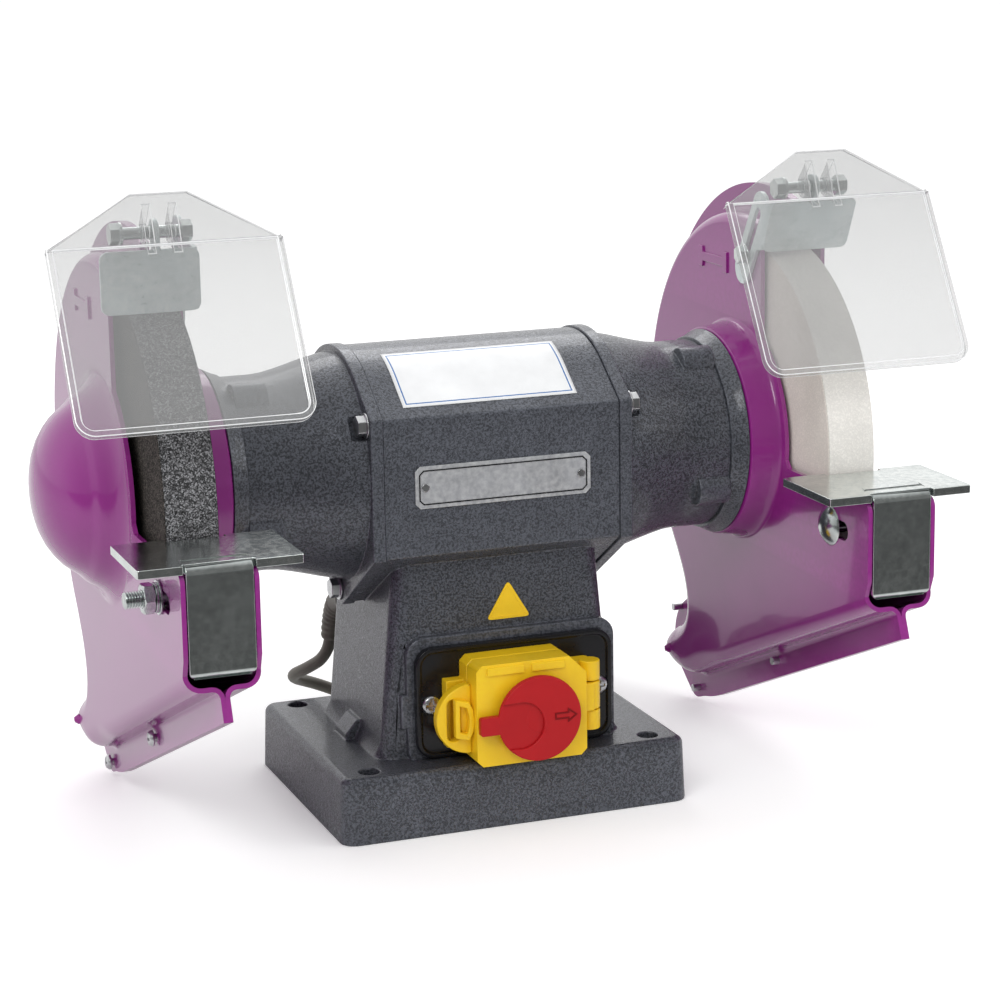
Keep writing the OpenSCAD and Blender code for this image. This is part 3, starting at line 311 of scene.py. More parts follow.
def mix_rgb(tree, factor, a, b):
    return node(tree, "ShaderNodeMix", {0: factor, 6: opaque(a), 7: opaque(b)}, data_type="RGBA").outputs[2]


def opaque(color):
    """A colour's socket as it is, or its three numbers with an alpha of one."""
    return color if isinstance(color, bpy.types.NodeSocket) else (*color[:3], 1)


def math_node(tree, operation, a, b):
    return node(tree, "ShaderNodeMath", {0: a, 1: b}, operation=operation).outputs[0]


def bump(tree, height, strength, distance, normal=None):
    inputs = {"Height": height, "Strength": strength, "Distance": distance}
    if normal is not None:
        inputs["Normal"] = normal
    return node(tree, "ShaderNodeBump", inputs).outputs[0]


def noise(tree, at, scale, detail=2.0, roughness=0.5):
    inputs = {"Vector": at, "Scale": scale, "Detail": detail, "Roughness": roughness}
    return node(tree, "ShaderNodeTexNoise", inputs).outputs[0]


def shade(rgb, factor):
    """A colour made lighter or darker."""
    return tuple(min(1.0, c * factor) for c in rgb)


# ------------------------------------------------------------- shared effects
def group_tree(name, inputs, outputs):
    tree = bpy.data.node_groups.new(name, "ShaderNodeTree")
    for label, kind in inputs:
        tree.interface.new_socket(label, in_out="INPUT", socket_type=kind)
    for label, kind in outputs:
        tree.interface.new_socket(label, in_out="OUTPUT", socket_type=kind)
    return tree, tree.nodes.new("NodeGroupInput"), tree.nodes.new("NodeGroupOutput")


def mottle_group():
    """Soft large patches over a colour, lighter and darker by Amount."""
    found = bpy.data.node_groups.get("Soft mottle")
    if found:
        return found
    takes = (("Color", "NodeSocketColor"), ("Amount", "NodeSocketFloat"), ("Size", "NodeSocketFloat"))
    gives = (("Color", "NodeSocketColor"), ("Grey", "NodeSocketFloat"))
    tree, start, end = group_tree("Soft mottle", takes, gives)
    patch = noise(tree, mapped(tree), start.outputs["Size"], 4.0, 0.55)
    grey = ramp(tree, patch, [(0.3, 0.0), (0.7, 1.0)])
    signed = node(tree, "ShaderNodeMapRange", {0: grey, 3: -1.0, 4: 1.0}).outputs[0]
    value = math_node(tree, "ADD", math_node(tree, "MULTIPLY", signed, start.outputs["Amount"]), 1.0)
    hsv = node(tree, "ShaderNodeHueSaturation", {"Value": value, "Color": start.outputs["Color"]})
    tree.links.new(hsv.outputs[0], end.inputs["Color"])
    tree.links.new(grey, end.inputs["Grey"])
    return tree


def mottled(tree, color, amount, size):
    """A colour with soft patches, and the patches' own grey."""
    inputs = {"Color": opaque(color), "Amount": amount, "Size": size}
    made = node(tree, "ShaderNodeGroup", inputs, node_tree=mottle_group())
    return made.outputs["Color"], made.outputs["Grey"]


def edge_highlight_group():
    """Painted edge highlight: 1 where a surface turns outwards, broken up by fine noise."""
    found = bpy.data.node_groups.get("Painted edge highlight")
    if found:
        return found
    takes, gives = (("Spread", "NodeSocketFloat"),), (("Mask", "NodeSocketFloat"),)
    tree, start, end = group_tree("Painted edge highlight", takes, gives)
    point = node(tree, "ShaderNodeNewGeometry").outputs["Pointiness"]
    edge = node(tree, "ShaderNodeMapRange", {0: point, 1: 0.51, 2: start.outputs["Spread"]}).outputs[0]
    broken = ramp(tree, noise(tree, mapped(tree), 0.35, 4.0, 0.6), [(0.35, 0.25), (0.65, 1.0)])
    tree.links.new(math_node(tree, "MULTIPLY", edge, broken), end.inputs["Mask"])
    return tree


def edge_highlighted(tree, color, spread, amount, highlight_tone):
    """A colour with a painted highlight on its outward edges, mixed towards a brighter one."""
    mask = node(tree, "ShaderNodeGroup", {"Spread": spread}, node_tree=edge_highlight_group()).outputs["Mask"]
    return mix_rgb(tree, math_node(tree, "MULTIPLY", mask, amount), color, highlight_tone)


def roughen(tree, bsdf, source, low, high):
    """Roughness from low to high, as the source goes from 0 to 1."""
    spread = node(tree, "ShaderNodeMapRange", {0: source, 3: low, 4: high})
    tree.links.new(spread.outputs[0], bsdf.inputs["Roughness"])


# ------------------------------------------------------------------ materials
def hammer_paint():
    """Dark hammered enamel: a fine light and dark curl under a gloss coat, with a painted highlight on its
    edges.
    """
    mat, tree, bsdf = new_tree("Hammered grey paint")
    tone = tuple(colours().casting)
    at = mapped(tree)
    wander = node(tree, "ShaderNodeTexNoise", {"Vector": at, "Scale": 0.5, "Detail": 2.0}).outputs["Color"]
    shifted = node(tree, "ShaderNodeVectorMath", {0: wander, 1: (1.6, 1.6, 1.6), 2: at},
                   operation="MULTIPLY_ADD").outputs[0]
    curl = noise(tree, shifted, 0.95, 3.0, 0.62)
    speck = ramp(tree, curl, [(0.38, 0.0), (0.62, 1.0)], "EASE")
    color = ramp(tree, curl, [(0.41, shade(tone, 0.55)), (0.50, tone), (0.60, shade(tone, 1.75))])
    color, _ = mottled(tree, color, 0.10, 0.05)
    # Painted highlight on the outward edges, towards three times the paint's tone.
    color = edge_highlighted(tree, color, 0.60, 0.55, shade(tone, 3.0))
    tree.links.new(color, bsdf.inputs["Base Color"])
    first = bump(tree, speck, 0.28, 0.0003)
    tree.links.new(bump(tree, noise(tree, at, 0.16, 2.0), 0.18, 0.0010, first), bsdf.inputs["Normal"])
    roughen(tree, bsdf, speck, 0.40, 0.27)
    bsdf.inputs["Metallic"].default_value = 0.25
    bsdf.inputs["Coat Weight"].default_value = 0.35
    bsdf.inputs["Coat Roughness"].default_value = 0.12
    bsdf.inputs["Specular IOR Level"].default_value = 0.30
    return mat


def guard_paint():
    """Glossy magenta-purple powder coat with a faint orange peel and a painted highlight on its edges."""
    mat, tree, bsdf = new_tree("Purple powder coat")
    tone = tuple(colours().guard)
    color, _ = mottled(tree, tone, 0.06, 0.02)
    # Painted highlight on the outward edges.
    color = edge_highlighted(tree, color, 0.62, 0.25, shade(tone, 1.9))
    tree.links.new(color, bsdf.inputs["Base Color"])
    peel = noise(tree, mapped(tree), 0.22, 2.0)
    tree.links.new(bump(tree, peel, 0.10, 0.0004), bsdf.inputs["Normal"])
    bsdf.inputs["Roughness"].default_value = 0.24
    bsdf.inputs["Coat Weight"].default_value = 0.65
    bsdf.inputs["Coat Roughness"].default_value = 0.05
    return mat


def zinc(name, tint, rough, metal=1.0):
    """Bright zinc plate: cloudy spangle, drawing lines and a painted highlight on the arrises."""
    mat, tree, bsdf = new_tree(name)
    at = mapped(tree)
    cloud = noise(tree, at, 0.045, 3.0, 0.6)
    color = ramp(tree, cloud, [(0.3, shade(tint, 0.82)), (0.52, tint), (0.72, shade(tint, 1.18))])
    color, grey = mottled(tree, color, 0.05, 0.35)
    # Painted highlight on the arrises, towards near white.
    color = edge_highlighted(tree, color, 0.58, 0.6, (0.92, 0.93, 0.90))
    tree.links.new(color, bsdf.inputs["Base Color"])
    scratch = noise(tree, mapped(tree, (0.06, 1.4, 0.5)), 1.0, 3.0)
    roughen(tree, bsdf, grey, rough - 0.03, rough + 0.05)
    first = bump(tree, noise(tree, at, 1.4, 5.0), 0.06, 0.0002)
    tree.links.new(bump(tree, scratch, 0.05, 0.0002, first), bsdf.inputs["Normal"])
    bsdf.inputs["Metallic"].default_value = metal
    return mat


def grit(name, tone, side_tone, contrast, grain, depth):
    """Bonded abrasive: broken grains, with another tone on the wheel's sides."""
    mat, tree, bsdf = new_tree(name)
    at = mapped(tree)
    cells = node(tree, "ShaderNodeTexVoronoi", {"Vector": at, "Scale": grain, "Randomness": 1.0},
                 feature="F1")
    pick = node(tree, "ShaderNodeSeparateColor", {0: cells.outputs["Color"]}).outputs[0]
    fine = noise(tree, at, grain * 1.5, 3.0, 0.6)
    value = math_node(tree, "ADD", math_node(tree, "MULTIPLY", pick, 0.55),
                      math_node(tree, "MULTIPLY", fine, 0.45))

    def tones(middle):
        steps = ((0.24, -0.78), (0.42, -0.4), (0.58, 0.5), (0.76, 3.4))
        return ramp(tree, value, [(place, shade(middle, 1.0 + part * contrast)) for place, part in steps])

    normal = node(tree, "ShaderNodeTexCoord").outputs["Normal"]
    along = node(tree, "ShaderNodeSeparateXYZ", {0: normal}).outputs[0]
    sideways = math_node(tree, "ABSOLUTE", along, 0.0)
    flank = node(tree, "ShaderNodeMapRange", {0: sideways, 1: 0.6, 2: 0.9}).outputs[0]
    color = mix_rgb(tree, flank, tones(tone), tones(side_tone))
    color, _ = mottled(tree, color, 0.06, 0.03)
    tree.links.new(color, bsdf.inputs["Base Color"])
    first = bump(tree, cells.outputs["Distance"], depth, 0.0007)
    tree.links.new(bump(tree, fine, depth * 0.7, 0.0005, first), bsdf.inputs["Normal"])
    bsdf.inputs["Roughness"].default_value = 0.85
    bsdf.inputs["Specular IOR Level"].default_value = 0.25
    return mat


def plastic(name, color, rough=0.35, coat=0.0, grain=0.08, shine=0.5):
    """Moulded plastic: a faint grain, soft patches and a painted highlight on its edges."""
    mat, tree, bsdf = new_tree(name)
    color = tuple(color)
    made, grey = mottled(tree, color, 0.06, 0.05)
    # Painted highlight on the outward edges.
    made = edge_highlighted(tree, made, 0.62, 0.22, shade(color, 1.35))
    tree.links.new(made, bsdf.inputs["Base Color"])
    roughen(tree, bsdf, grey, rough - 0.04, rough + 0.06)
    tree.links.new(bump(tree, noise(tree, mapped(tree), 2.2, 3.0), grain, 0.0003), bsdf.inputs["Normal"])
    bsdf.inputs["Specular IOR Level"].default_value = shine
    bsdf.inputs["Coat Weight"].default_value = coat
    bsdf.inputs["Coat Roughness"].default_value = 0.1
    return mat


def clear_plastic():
    """Clear sheet, blended by its alpha, with a light smoke tint and a little haze."""
    mat, tree, bsdf = new_tree("Clear shield plastic")
    bsdf.inputs["Base Color"].default_value = (*colours().shield, 1)
    haze = noise(tree, mapped(tree), 0.03, 3.0)
    roughen(tree, bsdf, haze, 0.02, 0.08)
    bsdf.inputs["IOR"].default_value = 1.49
    bsdf.inputs["Coat Weight"].default_value = 1.0
    bsdf.inputs["Coat Roughness"].default_value = 0.02
    bsdf.inputs["Alpha"].default_value = 0.33
    return mat


def steel(name, color, rough=0.28, turned=4):
    """Machined steel with fine turning lines."""
    mat, tree, bsdf = new_tree(name)
    made, grey = mottled(tree, color, 0.08, 0.08)
    tree.links.new(made, bsdf.inputs["Base Color"])
    lines = noise(tree, mapped(tree, (turned, 1, 1)), 0.9, 4.0)
    tree.links.new(bump(tree, lines, 0.08, 0.0002), bsdf.inputs["Normal"])
    roughen(tree, bsdf, grey, rough - 0.04, rough + 0.06)
    bsdf.inputs["Metallic"].default_value = 1.0
    return mat


def build_materials():
    """Every finish by its slot: the record's own first, then five for details."""
    hue = colours()
    grey_side, white_side = (0.030, 0.026, 0.023), (0.80, 0.74, 0.68)
    makers = {
        "hammer_paint": hammer_paint,
        "guard_paint": guard_paint,
        "zinc": lambda: zinc("Zinc plate", tuple(hue.zinc), 0.19),
        "steel": lambda: steel("Machined steel", (0.60, 0.61, 0.62)),
        "core_steel": lambda: steel("Core steel", (0.30, 0.31, 0.33), 0.5, 8),
        "copper": lambda: steel("Winding copper", (0.55, 0.22, 0.08), 0.42, 2),
        "bare_plate": lambda: zinc("Bare aluminium plate", (0.40, 0.41, 0.44), 0.36, 0.35),
        "pale_plastic": lambda: plastic("Pale plastic", (0.62, 0.61, 0.56)),
        "black_plastic": lambda: plastic("Black plastic", hue.black, 0.26, 0.1, 0.10, 0.35),
        "yellow_plastic": lambda: plastic("Yellow plastic", hue.yellow, 0.33, 0.1, 0.08, 0.35),
        "red_plastic": lambda: plastic("Red plastic", hue.red, 0.36, 0.0, 0.08, 0.25),
        "green_plastic": lambda: plastic("Green plastic", (0.03, 0.24, 0.06), 0.34, 0.2),
        "grey_grit": lambda: grit("Grey grinding grit", tuple(hue.grey_wheel), grey_side, 1.0, 1.85, 0.55),
        "white_grit": lambda: grit("White grinding grit", tuple(hue.white_wheel), white_side,
                                   0.035, 1.5, 0.15),
        "clear_plastic": clear_plastic,
        "cord_rubber": lambda: plastic("Cord sheath", hue.cord, 0.48, 0.0, 0.2),
        "label": lambda: plastic("Label paper", hue.label, 0.40, 0.2, 0.04),
        "pale_zinc": lambda: zinc("Pale zinc plate", (0.58, 0.66, 0.66), 0.30, 0.3),
        # The stop pad's red darkened: painted shade along the raised arrow.
        "arrow": lambda: plastic("Arrow painted shade", shade(hue.red, 0.42), 0.4, 0.0, 0.05, 0.2),
        # Near-white finish for the shields' edges: a painted highlight.
        "shield_rim_highlight": lambda: plastic("Shield rim painted highlight", (0.93, 0.94, 0.95), 0.12, 1.0, 0.02),
        "label_line": lambda: plastic("Label line", hue.label_line, 0.40, 0.2, 0.04),
    }
    for slot, make in makers.items():
        FINISHES[slot] = make()


FINISHES = {}


def add_finishes():
    """Makes the finishes and gives every node its own."""
    build_materials()
    for entry in frame["record"]["subparts"]:
        obj = frame["nodes"][entry["node"]]
        obj.data.materials.clear()
        obj.data.materials.append(FINISHES[entry["material_slot"]])


# -------------------------------------------------------------- mesh helpers
def deselect():
    for obj in list(bpy.context.selected_objects):
        obj.select_set(False)


def select_only(obj, *others):
    """Selects pieces and nothing else, the first one active."""
    deselect()
    for piece in (obj, *others):
        piece.select_set(True)
    bpy.context.view_layer.objects.active = obj


def open_edit(obj):
    """Opens one piece alone in edit mode, all of it selected."""
    select_only(obj)
    bpy.ops.object.mode_set(mode="EDIT")
    bpy.ops.mesh.select_all(action="SELECT")


def open_part(obj, parts, wanted):
    """Opens one piece in edit mode, with only the faces or edges selected that pass a test."""
    open_edit(obj)
    bpy.ops.mesh.select_all(action="DESELECT")
    close_edit()
    for part in parts:
        part.select = wanted(part)
    bpy.ops.object.mode_set(mode="EDIT")


def close_edit():
    bpy.ops.object.mode_set(mode="OBJECT")


def close_outward():
    """Turns every face of the open piece outwards, and closes it."""
    bpy.ops.mesh.select_all(action="SELECT")
    bpy.ops.mesh.normals_make_consistent(inside=False)
    close_edit()


def named(obj, name):
    """Names a piece and its mesh."""
    obj.name = name
    obj.data.name = name
    return obj


def at_level(point, level, axis):
    """A point of a flat outline, put in space: axis is the one across the outline."""
    a, b = point
    return {"x": (level, a, b), "y": (a, level, b), "z": (a, b, level)}[axis]


def outline_face(name, points, level, axis):
    """A flat face with the outline's points, at a level on the axis."""
    deselect()
    bpy.ops.mesh.primitive_circle_add(vertices=len(points), radius=0.01, fill_type="NGON")
    obj = named(bpy.context.object, name)
    for vert, point in zip(obj.data.vertices, points):
        vert.co = Vector(at_level(point, level, axis)) * MM
    return obj


def outline_block(name, points, low, high, axis, width=None):
    """A solid plate: the outline extruded along the axis. With a width, only a line inside its edge."""
    obj = outline_face(name, points, low, axis)
    open_edit(obj)
    if width:
        bpy.ops.mesh.inset(thickness=width * MM)
        bpy.ops.mesh.delete(type="ONLY_FACE")
        bpy.ops.mesh.select_all(action="SELECT")
    shift = Vector(at_level((0, 0), high - low, axis)) * MM
    bpy.ops.mesh.extrude_region_move(TRANSFORM_OT_translate={"value": shift})
    close_outward()
    return obj


def turned_piece(name, profile, centre, axis, count=48):
    """A turned solid: rings of (radius, height) extruded in turn along the axis."""
    deselect()
    first = profile[0]
    bpy.ops.mesh.primitive_circle_add(vertices=count, radius=first[0] * MM, fill_type="NGON")
    obj = named(bpy.context.object, name)
    obj.data.transform(Matrix.Translation((0, 0, first[1] * MM)))
    open_edit(obj)
    for (r0, h0), (r1, h1) in zip(profile, profile[1:]):
        bpy.ops.mesh.extrude_region_move(TRANSFORM_OT_translate={"value": (0, 0, (h1 - h0) * MM)})
        scale = r1 / r0
        if abs(scale - 1) > 1e-6:
            bpy.ops.transform.resize(value=(scale, scale, 1), center_override=(0, 0, h1 * MM))
    close_outward()
    turn = {
        "x": Matrix.Rotation(math.radians(90), 4, "Y"),
        "-x": Matrix.Rotation(math.radians(-90), 4, "Y"),
        "y": Matrix.Rotation(math.radians(-90), 4, "X"),
        "-y": Matrix.Rotation(math.radians(90), 4, "X"),
        "z": Matrix.Identity(4),
    }[axis]
    obj.data.transform(Matrix.Translation(Vector(centre) * MM) @ turn)
    return obj


def rounded(low, high, radius, steps=5):
    """Points of a rectangle with round corners, between two corners."""
    (x0, y0), (x1, y1) = low, high
    points = []
    for cx, cy, start in ((x1 - radius, y0 + radius, -90), (x1 - radius, y1 - radius, 0),
                          (x0 + radius, y1 - radius, 90), (x0 + radius, y0 + radius, 180)):
        for k in range(steps + 1):
            a = math.radians(start + 90 * k / steps)
            points.append((cx + radius * math.cos(a), cy + radius * math.sin(a)))
    return points


def mirror_x(obj):
    """Turns a right-hand piece into a left-hand one."""
    obj.data.transform(Matrix.Scale(-1, 4, (1, 0, 0)))
    open_edit(obj)
    close_outward()
    return obj


def combine(obj, other, operation):
    """Joins, cuts or crosses two solids; the second one is used up."""
    change = obj.modifiers.new("Shape", "BOOLEAN")
    change.operation = operation
    change.object = other
    change.solver = "EXACT"
    select_only(obj)
    bpy.ops.object.modifier_apply(modifier=change.name)
    bpy.data.meshes.remove(other.data)
    return obj


def join_pieces(obj, *others):
    """Puts other pieces into one mesh with the first, uncut."""
    select_only(obj, *others)
    bpy.ops.object.join()
    return obj


def shade_faces(obj, smooth=True):
    for face in obj.data.polygons:
        face.use_smooth = smooth


def soften(obj, width, segments=2, angle=35, clamp=False):
    """Small rounded edges and smooth shading, kept as the piece's last modifiers."""
    shade_faces(obj)
    bevel = obj.modifiers.new("Edges", "BEVEL")
    bevel.width = width
    bevel.segments = segments
    bevel.limit_method = "ANGLE"
    bevel.angle_limit = math.radians(angle)
    bevel.use_clamp_overlap = clamp
    obj.modifiers.new("Normals", "WEIGHTED_NORMAL").keep_sharp = False
    return obj


def finish(obj, slot, body, *nodes):
    """Gives a piece its finish, the body that it rides on and the nodes that it stands for."""
    obj.data.materials.clear()
    obj.data.materials.append(FINISHES[slot])
    if nodes:
        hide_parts(*nodes)
    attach(obj, body)
    return obj


def node_facts(name):
    """A node's body and material slot."""
    record = frame["record"]
    body = next(b for b, nodes in record["behaviour"]["bodies"].items() if name in nodes)
    slot = next(e["material_slot"] for e in record["subparts"] if e["node"] == name)
    return body, slot


def rounded_copy(name, width, segments=2, angle=35, clamp=False, flat=0.6):
    """A copy of a node's mesh, merged, with its edges rounded, in the node's stead.
    Faces within flat degrees of each other become one, where flat isn't 0."""
    source = frame["nodes"][name]
    obj = bpy.data.objects.new(name + "_dressed", source.data.copy())
    obj.data.name = obj.name
    bpy.context.scene.collection.objects.link(obj)
    open_edit(obj)
    bpy.ops.mesh.remove_doubles(threshold=0.00001)
    if flat:
        bpy.ops.mesh.dissolve_limited(angle_limit=math.radians(flat))
    close_edit()
    body, slot = node_facts(name)
    finish(obj, slot, body, name)
    return soften(obj, width, segments, angle, clamp)


# ------------------------------------------------------------------ camera
def camera_axes():
    """Right, up and backward axes of the camera."""
    y, p, r = CAMERA_YAW, CAMERA_PITCH, CAMERA_ROLL
    forward = Vector((-math.sin(y) * math.cos(p), math.cos(y) * math.cos(p), -math.sin(p)))
    right = forward.cross(Vector((0, 0, 1))).normalized()
    up = right.cross(forward)
    c, s = math.cos(r), math.sin(r)
    return c * right + s * up, -s * right + c * up, -forward


def add_camera():
    """The scene's camera, at its solved place."""
    right, up, back = camera_axes()
    data = bpy.data.cameras.new("Camera")
    data.lens = sizes().lens
    data.sensor_width = 36
    data.clip_start = 0.05
    data.clip_end = 60
    camera = bpy.data.objects.new("Camera", data)
    camera.matrix_world = Matrix.Translation(CAMERA_AT) @ Matrix((right, up, back)).transposed().to_4x4()
    bpy.context.scene.collection.objects.link(camera)
    bpy.context.scene.camera = camera


# ------------------------------------------------------------- mains lead
def catmull(points, steps):
    """A smooth line through points, with its end points doubled."""
    full = [points[0], *points, points[-1]]
    out = []
    for a, b, c, d in zip(full, full[1:], full[2:], full[3:]):
        for k in range(steps):
            t = k / steps
            out.append(tuple(
                0.5 * (2 * b[i] + (c[i] - a[i]) * t + (2 * a[i] - 5 * b[i] + 4 * c[i] - d[i]) * t * t
                       + (3 * b[i] - a[i] - 3 * c[i] + d[i]) * t ** 3)
                for i in range(len(b))))
    out.append(tuple(points[-1]))
    return out


def coil_turns():
    """Points of the coil: three turns inwards on the bench, a climb, and three turns outwards on top."""
    points = []
    start = -math.pi / 2
    steps = COIL_TURNS * COIL_STEPS
    climb = COIL_STEPS // 4
    for k in range(steps + 1):
        reach = COIL_OUTER + (COIL_INNER - COIL_OUTER) * k / steps
        points.append((start + 2 * math.pi * k / COIL_STEPS, reach, COIL_LOW))
    for k in range(1, climb + 1):
        part = k / climb
        rise = part * part * (3 - 2 * part)
        height = COIL_LOW + (COIL_HIGH - COIL_LOW) * rise
        points.append((start + 2 * math.pi * k / COIL_STEPS, COIL_INNER, height))
    for k in range(1, steps - climb + 1):
        reach = COIL_INNER + (COIL_OUTER - COIL_INNER) * k / (steps - climb)
        points.append((start + 2 * math.pi * (k + climb) / COIL_STEPS, reach, COIL_HIGH))
    return [(COIL_AT[0] + r * math.cos(a), COIL_AT[1] + r * math.sin(a), z) for a, r, z in points]


def line_piece(name, points, radii, resolution=6):
    """A round rod along points, with a radius at each."""
    data = bpy.data.curves.new(name, "CURVE")
    data.dimensions = "3D"
    data.bevel_depth = MM
    data.bevel_resolution = resolution
    data.use_fill_caps = True
    spline = data.splines.new("POLY")
    spline.points.add(len(points) - 1)
    for place, point, radius in zip(spline.points, points, radii):
        place.co = (*(c * MM for c in point), 1)
        place.radius = radius
    obj = bpy.data.objects.new(name, data)
    bpy.context.scene.collection.objects.link(obj)
    return obj


def add_mains_lead():
    """Lead, moulded sleeve, plug and the tie round the coil."""
    width = sizes().cord_diameter
    route = [CORD_EXIT, *SLEEVE_ROUTE, *LEAD_ROUTE]
    path = catmull(route + coil_turns() + list(TAIL_ROUTE), 4)
    lead = line_piece("mains_lead", path, [width / MM / 2] * len(path), 5)
    lead.data.materials.append(FINISHES["cord_rubber"])
    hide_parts("cord_lead", "cord_coil", "cord_tail")
    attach(lead, "machine")

    # Sleeve: a pear-shaped moulding with shallow ribs down its thin end
    spine = catmull(SLEEVE_ROUTE, 10)
    radii = catmull([(r,) for r in SLEEVE_RADII], 10)
    ribbed = []
    for k, (r,) in enumerate(radii):
        along = k / (len(radii) - 1)
        ribbed.append(r + (0.28 * math.sin(k * 1.45) if along > 0.45 else 0.0))
    sleeve = line_piece("lead_sleeve", spine, ribbed, 8)
    select_only(sleeve)
    bpy.ops.object.convert(target="MESH")
    sleeve = bpy.context.object
    x, y, z = CORD_EXIT
    join_pieces(sleeve, turned_piece("lead_collar", GLAND, (x, y + 0.3, z), "y"))
    shade_faces(sleeve)
    finish(sleeve, "cord_rubber", "machine", "cord_gland")
    sleeve.data.set_sharp_from_angle(angle=math.radians(40))

    plug = rounded_copy("mains_plug", 0.0007)

    # Tie: a flat strap over the coil's turns, down to the bench on both sides
    outer = rounded((COIL_INNER - 4.6, 0.0), (COIL_OUTER + 4.6, 14.5), 3.4)
    inner = rounded((COIL_INNER - 3.5, -1.0), (COIL_OUTER + 3.5, 13.4), 2.6)
    half = sizes().tie_width / MM / 2
    x, y = COIL_AT
    strap = outline_block("coil_tie", [(y + a, b) for a, b in outer], x - half, x + half, "x")
    core = outline_block("coil_tie_core", [(y + a, b) for a, b in inner], x - half - 1, x + half + 1, "x")
    combine(strap, core, "DIFFERENCE")
    finish(strap, "black_plastic", "machine")
    soften(strap, 0.0003)


# --------------------------------------------------------- motor and pedestal
def housing_point(turn, lift):
    """A point over the housing's top: an arc, then the straight slope before it."""
    r = ARCH_R + lift
    if abs(turn) <= ARCH_END:
        return r * math.sin(turn), AXIS_Z + r * math.cos(turn)
    sign = 1 if turn > 0 else -1
    beyond = (abs(turn) - ARCH_END) * ARCH_R
    y = r * math.sin(ARCH_END) + beyond * math.cos(ARCH_END)
    return sign * y, AXIS_Z + r * math.cos(ARCH_END) - beyond * math.sin(ARCH_END)


def add_label():
    """A blank label on the housing's top, with a plain line round it."""
    line = sizes().label_line / MM

    def stops(low, high, cells):
        """Grid lines from low to high, with two narrow bands for the drawn line."""
        marks = [low, low + LABEL_INSET, low + LABEL_INSET + line]
        span = high - low - 2 * (LABEL_INSET + line)
        marks += [low + LABEL_INSET + line + span * k / cells for k in range(1, cells)]
        return marks + [high - LABEL_INSET - line, high - LABEL_INSET, high]

    columns = stops(*LABEL_X, 8)
    rows = [a / ARCH_R for a in stops(LABEL_TURN[0] * ARCH_R, LABEL_TURN[1] * ARCH_R, 16)]
    deselect()
    bpy.ops.mesh.primitive_grid_add(x_subdivisions=len(columns) - 1, y_subdivisions=len(rows) - 1, size=0.05)
    label = named(bpy.context.object, "blank_label")
    for index, vert in enumerate(label.data.vertices):
        y, z = housing_point(rows[index // len(columns)], LABEL_LIFT)
        vert.co = Vector((columns[index % len(columns)], y, z)) * MM
    finish(label, "label", "machine")
    label.data.materials.append(FINISHES["label_line"])
    across, down = len(columns) - 1, len(rows) - 1
    for face in label.data.polygons:
        col, row = face.index % across, face.index // across
        inside = 0 < col < across - 1 and 0 < row < down - 1
        on_line = col in (1, across - 2) or row in (1, down - 2)
        face.material_index = int(inside and on_line)
    shade_faces(label)
    open_edit(label)
    close_outward()
    if label.data.polygons[0].normal.z < 0:
        label.data.flip_normals()
    paper = label.modifiers.new("Paper", "SOLIDIFY")
    paper.thickness = 0.00015
    paper.offset = 1


def towards(start, end, part):
    """A point on the way from one point to another."""
    return tuple(a + (b - a) * part for a, b in zip(start, end))


def middle(points):
    return tuple(sum(values) / len(points) for values in zip(*points))


def add_plates():
    """Plate over the switch and the small triangular plate, both left blank."""
    rounded_copy("name_plate", 0.0002)
    rounded_copy("name_plate_rivets", 0.0003)
    rim = outline_block("name_plate_rim", NAME_RIM, *NAME_RIM_Y, "y", RIM_WIDTH)
    finish(rim, "black_plastic", "machine")

    # Triangle: each corner is cut by four points, the two nearest drawn in a little
    points = []
    for k, corner in enumerate(TRIANGLE):
        before, after = TRIANGLE[k - 1], TRIANGLE[(k + 1) % 3]
        for other, part, pull in ((before, 0.11, 0.0), (before, 0.04, 0.035), (after, 0.04, 0.035),
                                  (after, 0.11, 0.0)):
            points.append(towards(towards(corner, other, part), middle(TRIANGLE), pull))
    plate = outline_block("triangle_plate", points, *TRIANGLE_Y, "y")
    finish(plate, "yellow_plastic", "machine")
    soften(plate, 0.00015)
    shrunk = [towards(middle(points), point, 0.86) for point in points]
    ring = outline_block("triangle_plate_rim", shrunk, *TRIANGLE_RIM_Y, "y", RIM_WIDTH)
    finish(ring, "yellow_plastic", "machine")


def add_motor():
    """Castings with soft edges, the end bells' collars and bolts, the plates and the label."""
    edge = sizes().casting_edge
    rounded_copy("main_casting", edge, 3, 30)
    for word, side in SIDES:
        rounded_copy(f"end_bell_{word}", edge * 0.8, 3, 30)
        collar = turned_piece(f"bell_collar_{word}", COLLAR, (side * COLLAR_X, 0.0, AXIS_Z),
                              "x" if side > 0 else "-x", 96)
        finish(collar, "hammer_paint", "machine")
        soften(collar, 0.0004, 2, 50)
    rounded_copy("bell_bolts", 0.0004)
    add_plates()
    add_label()


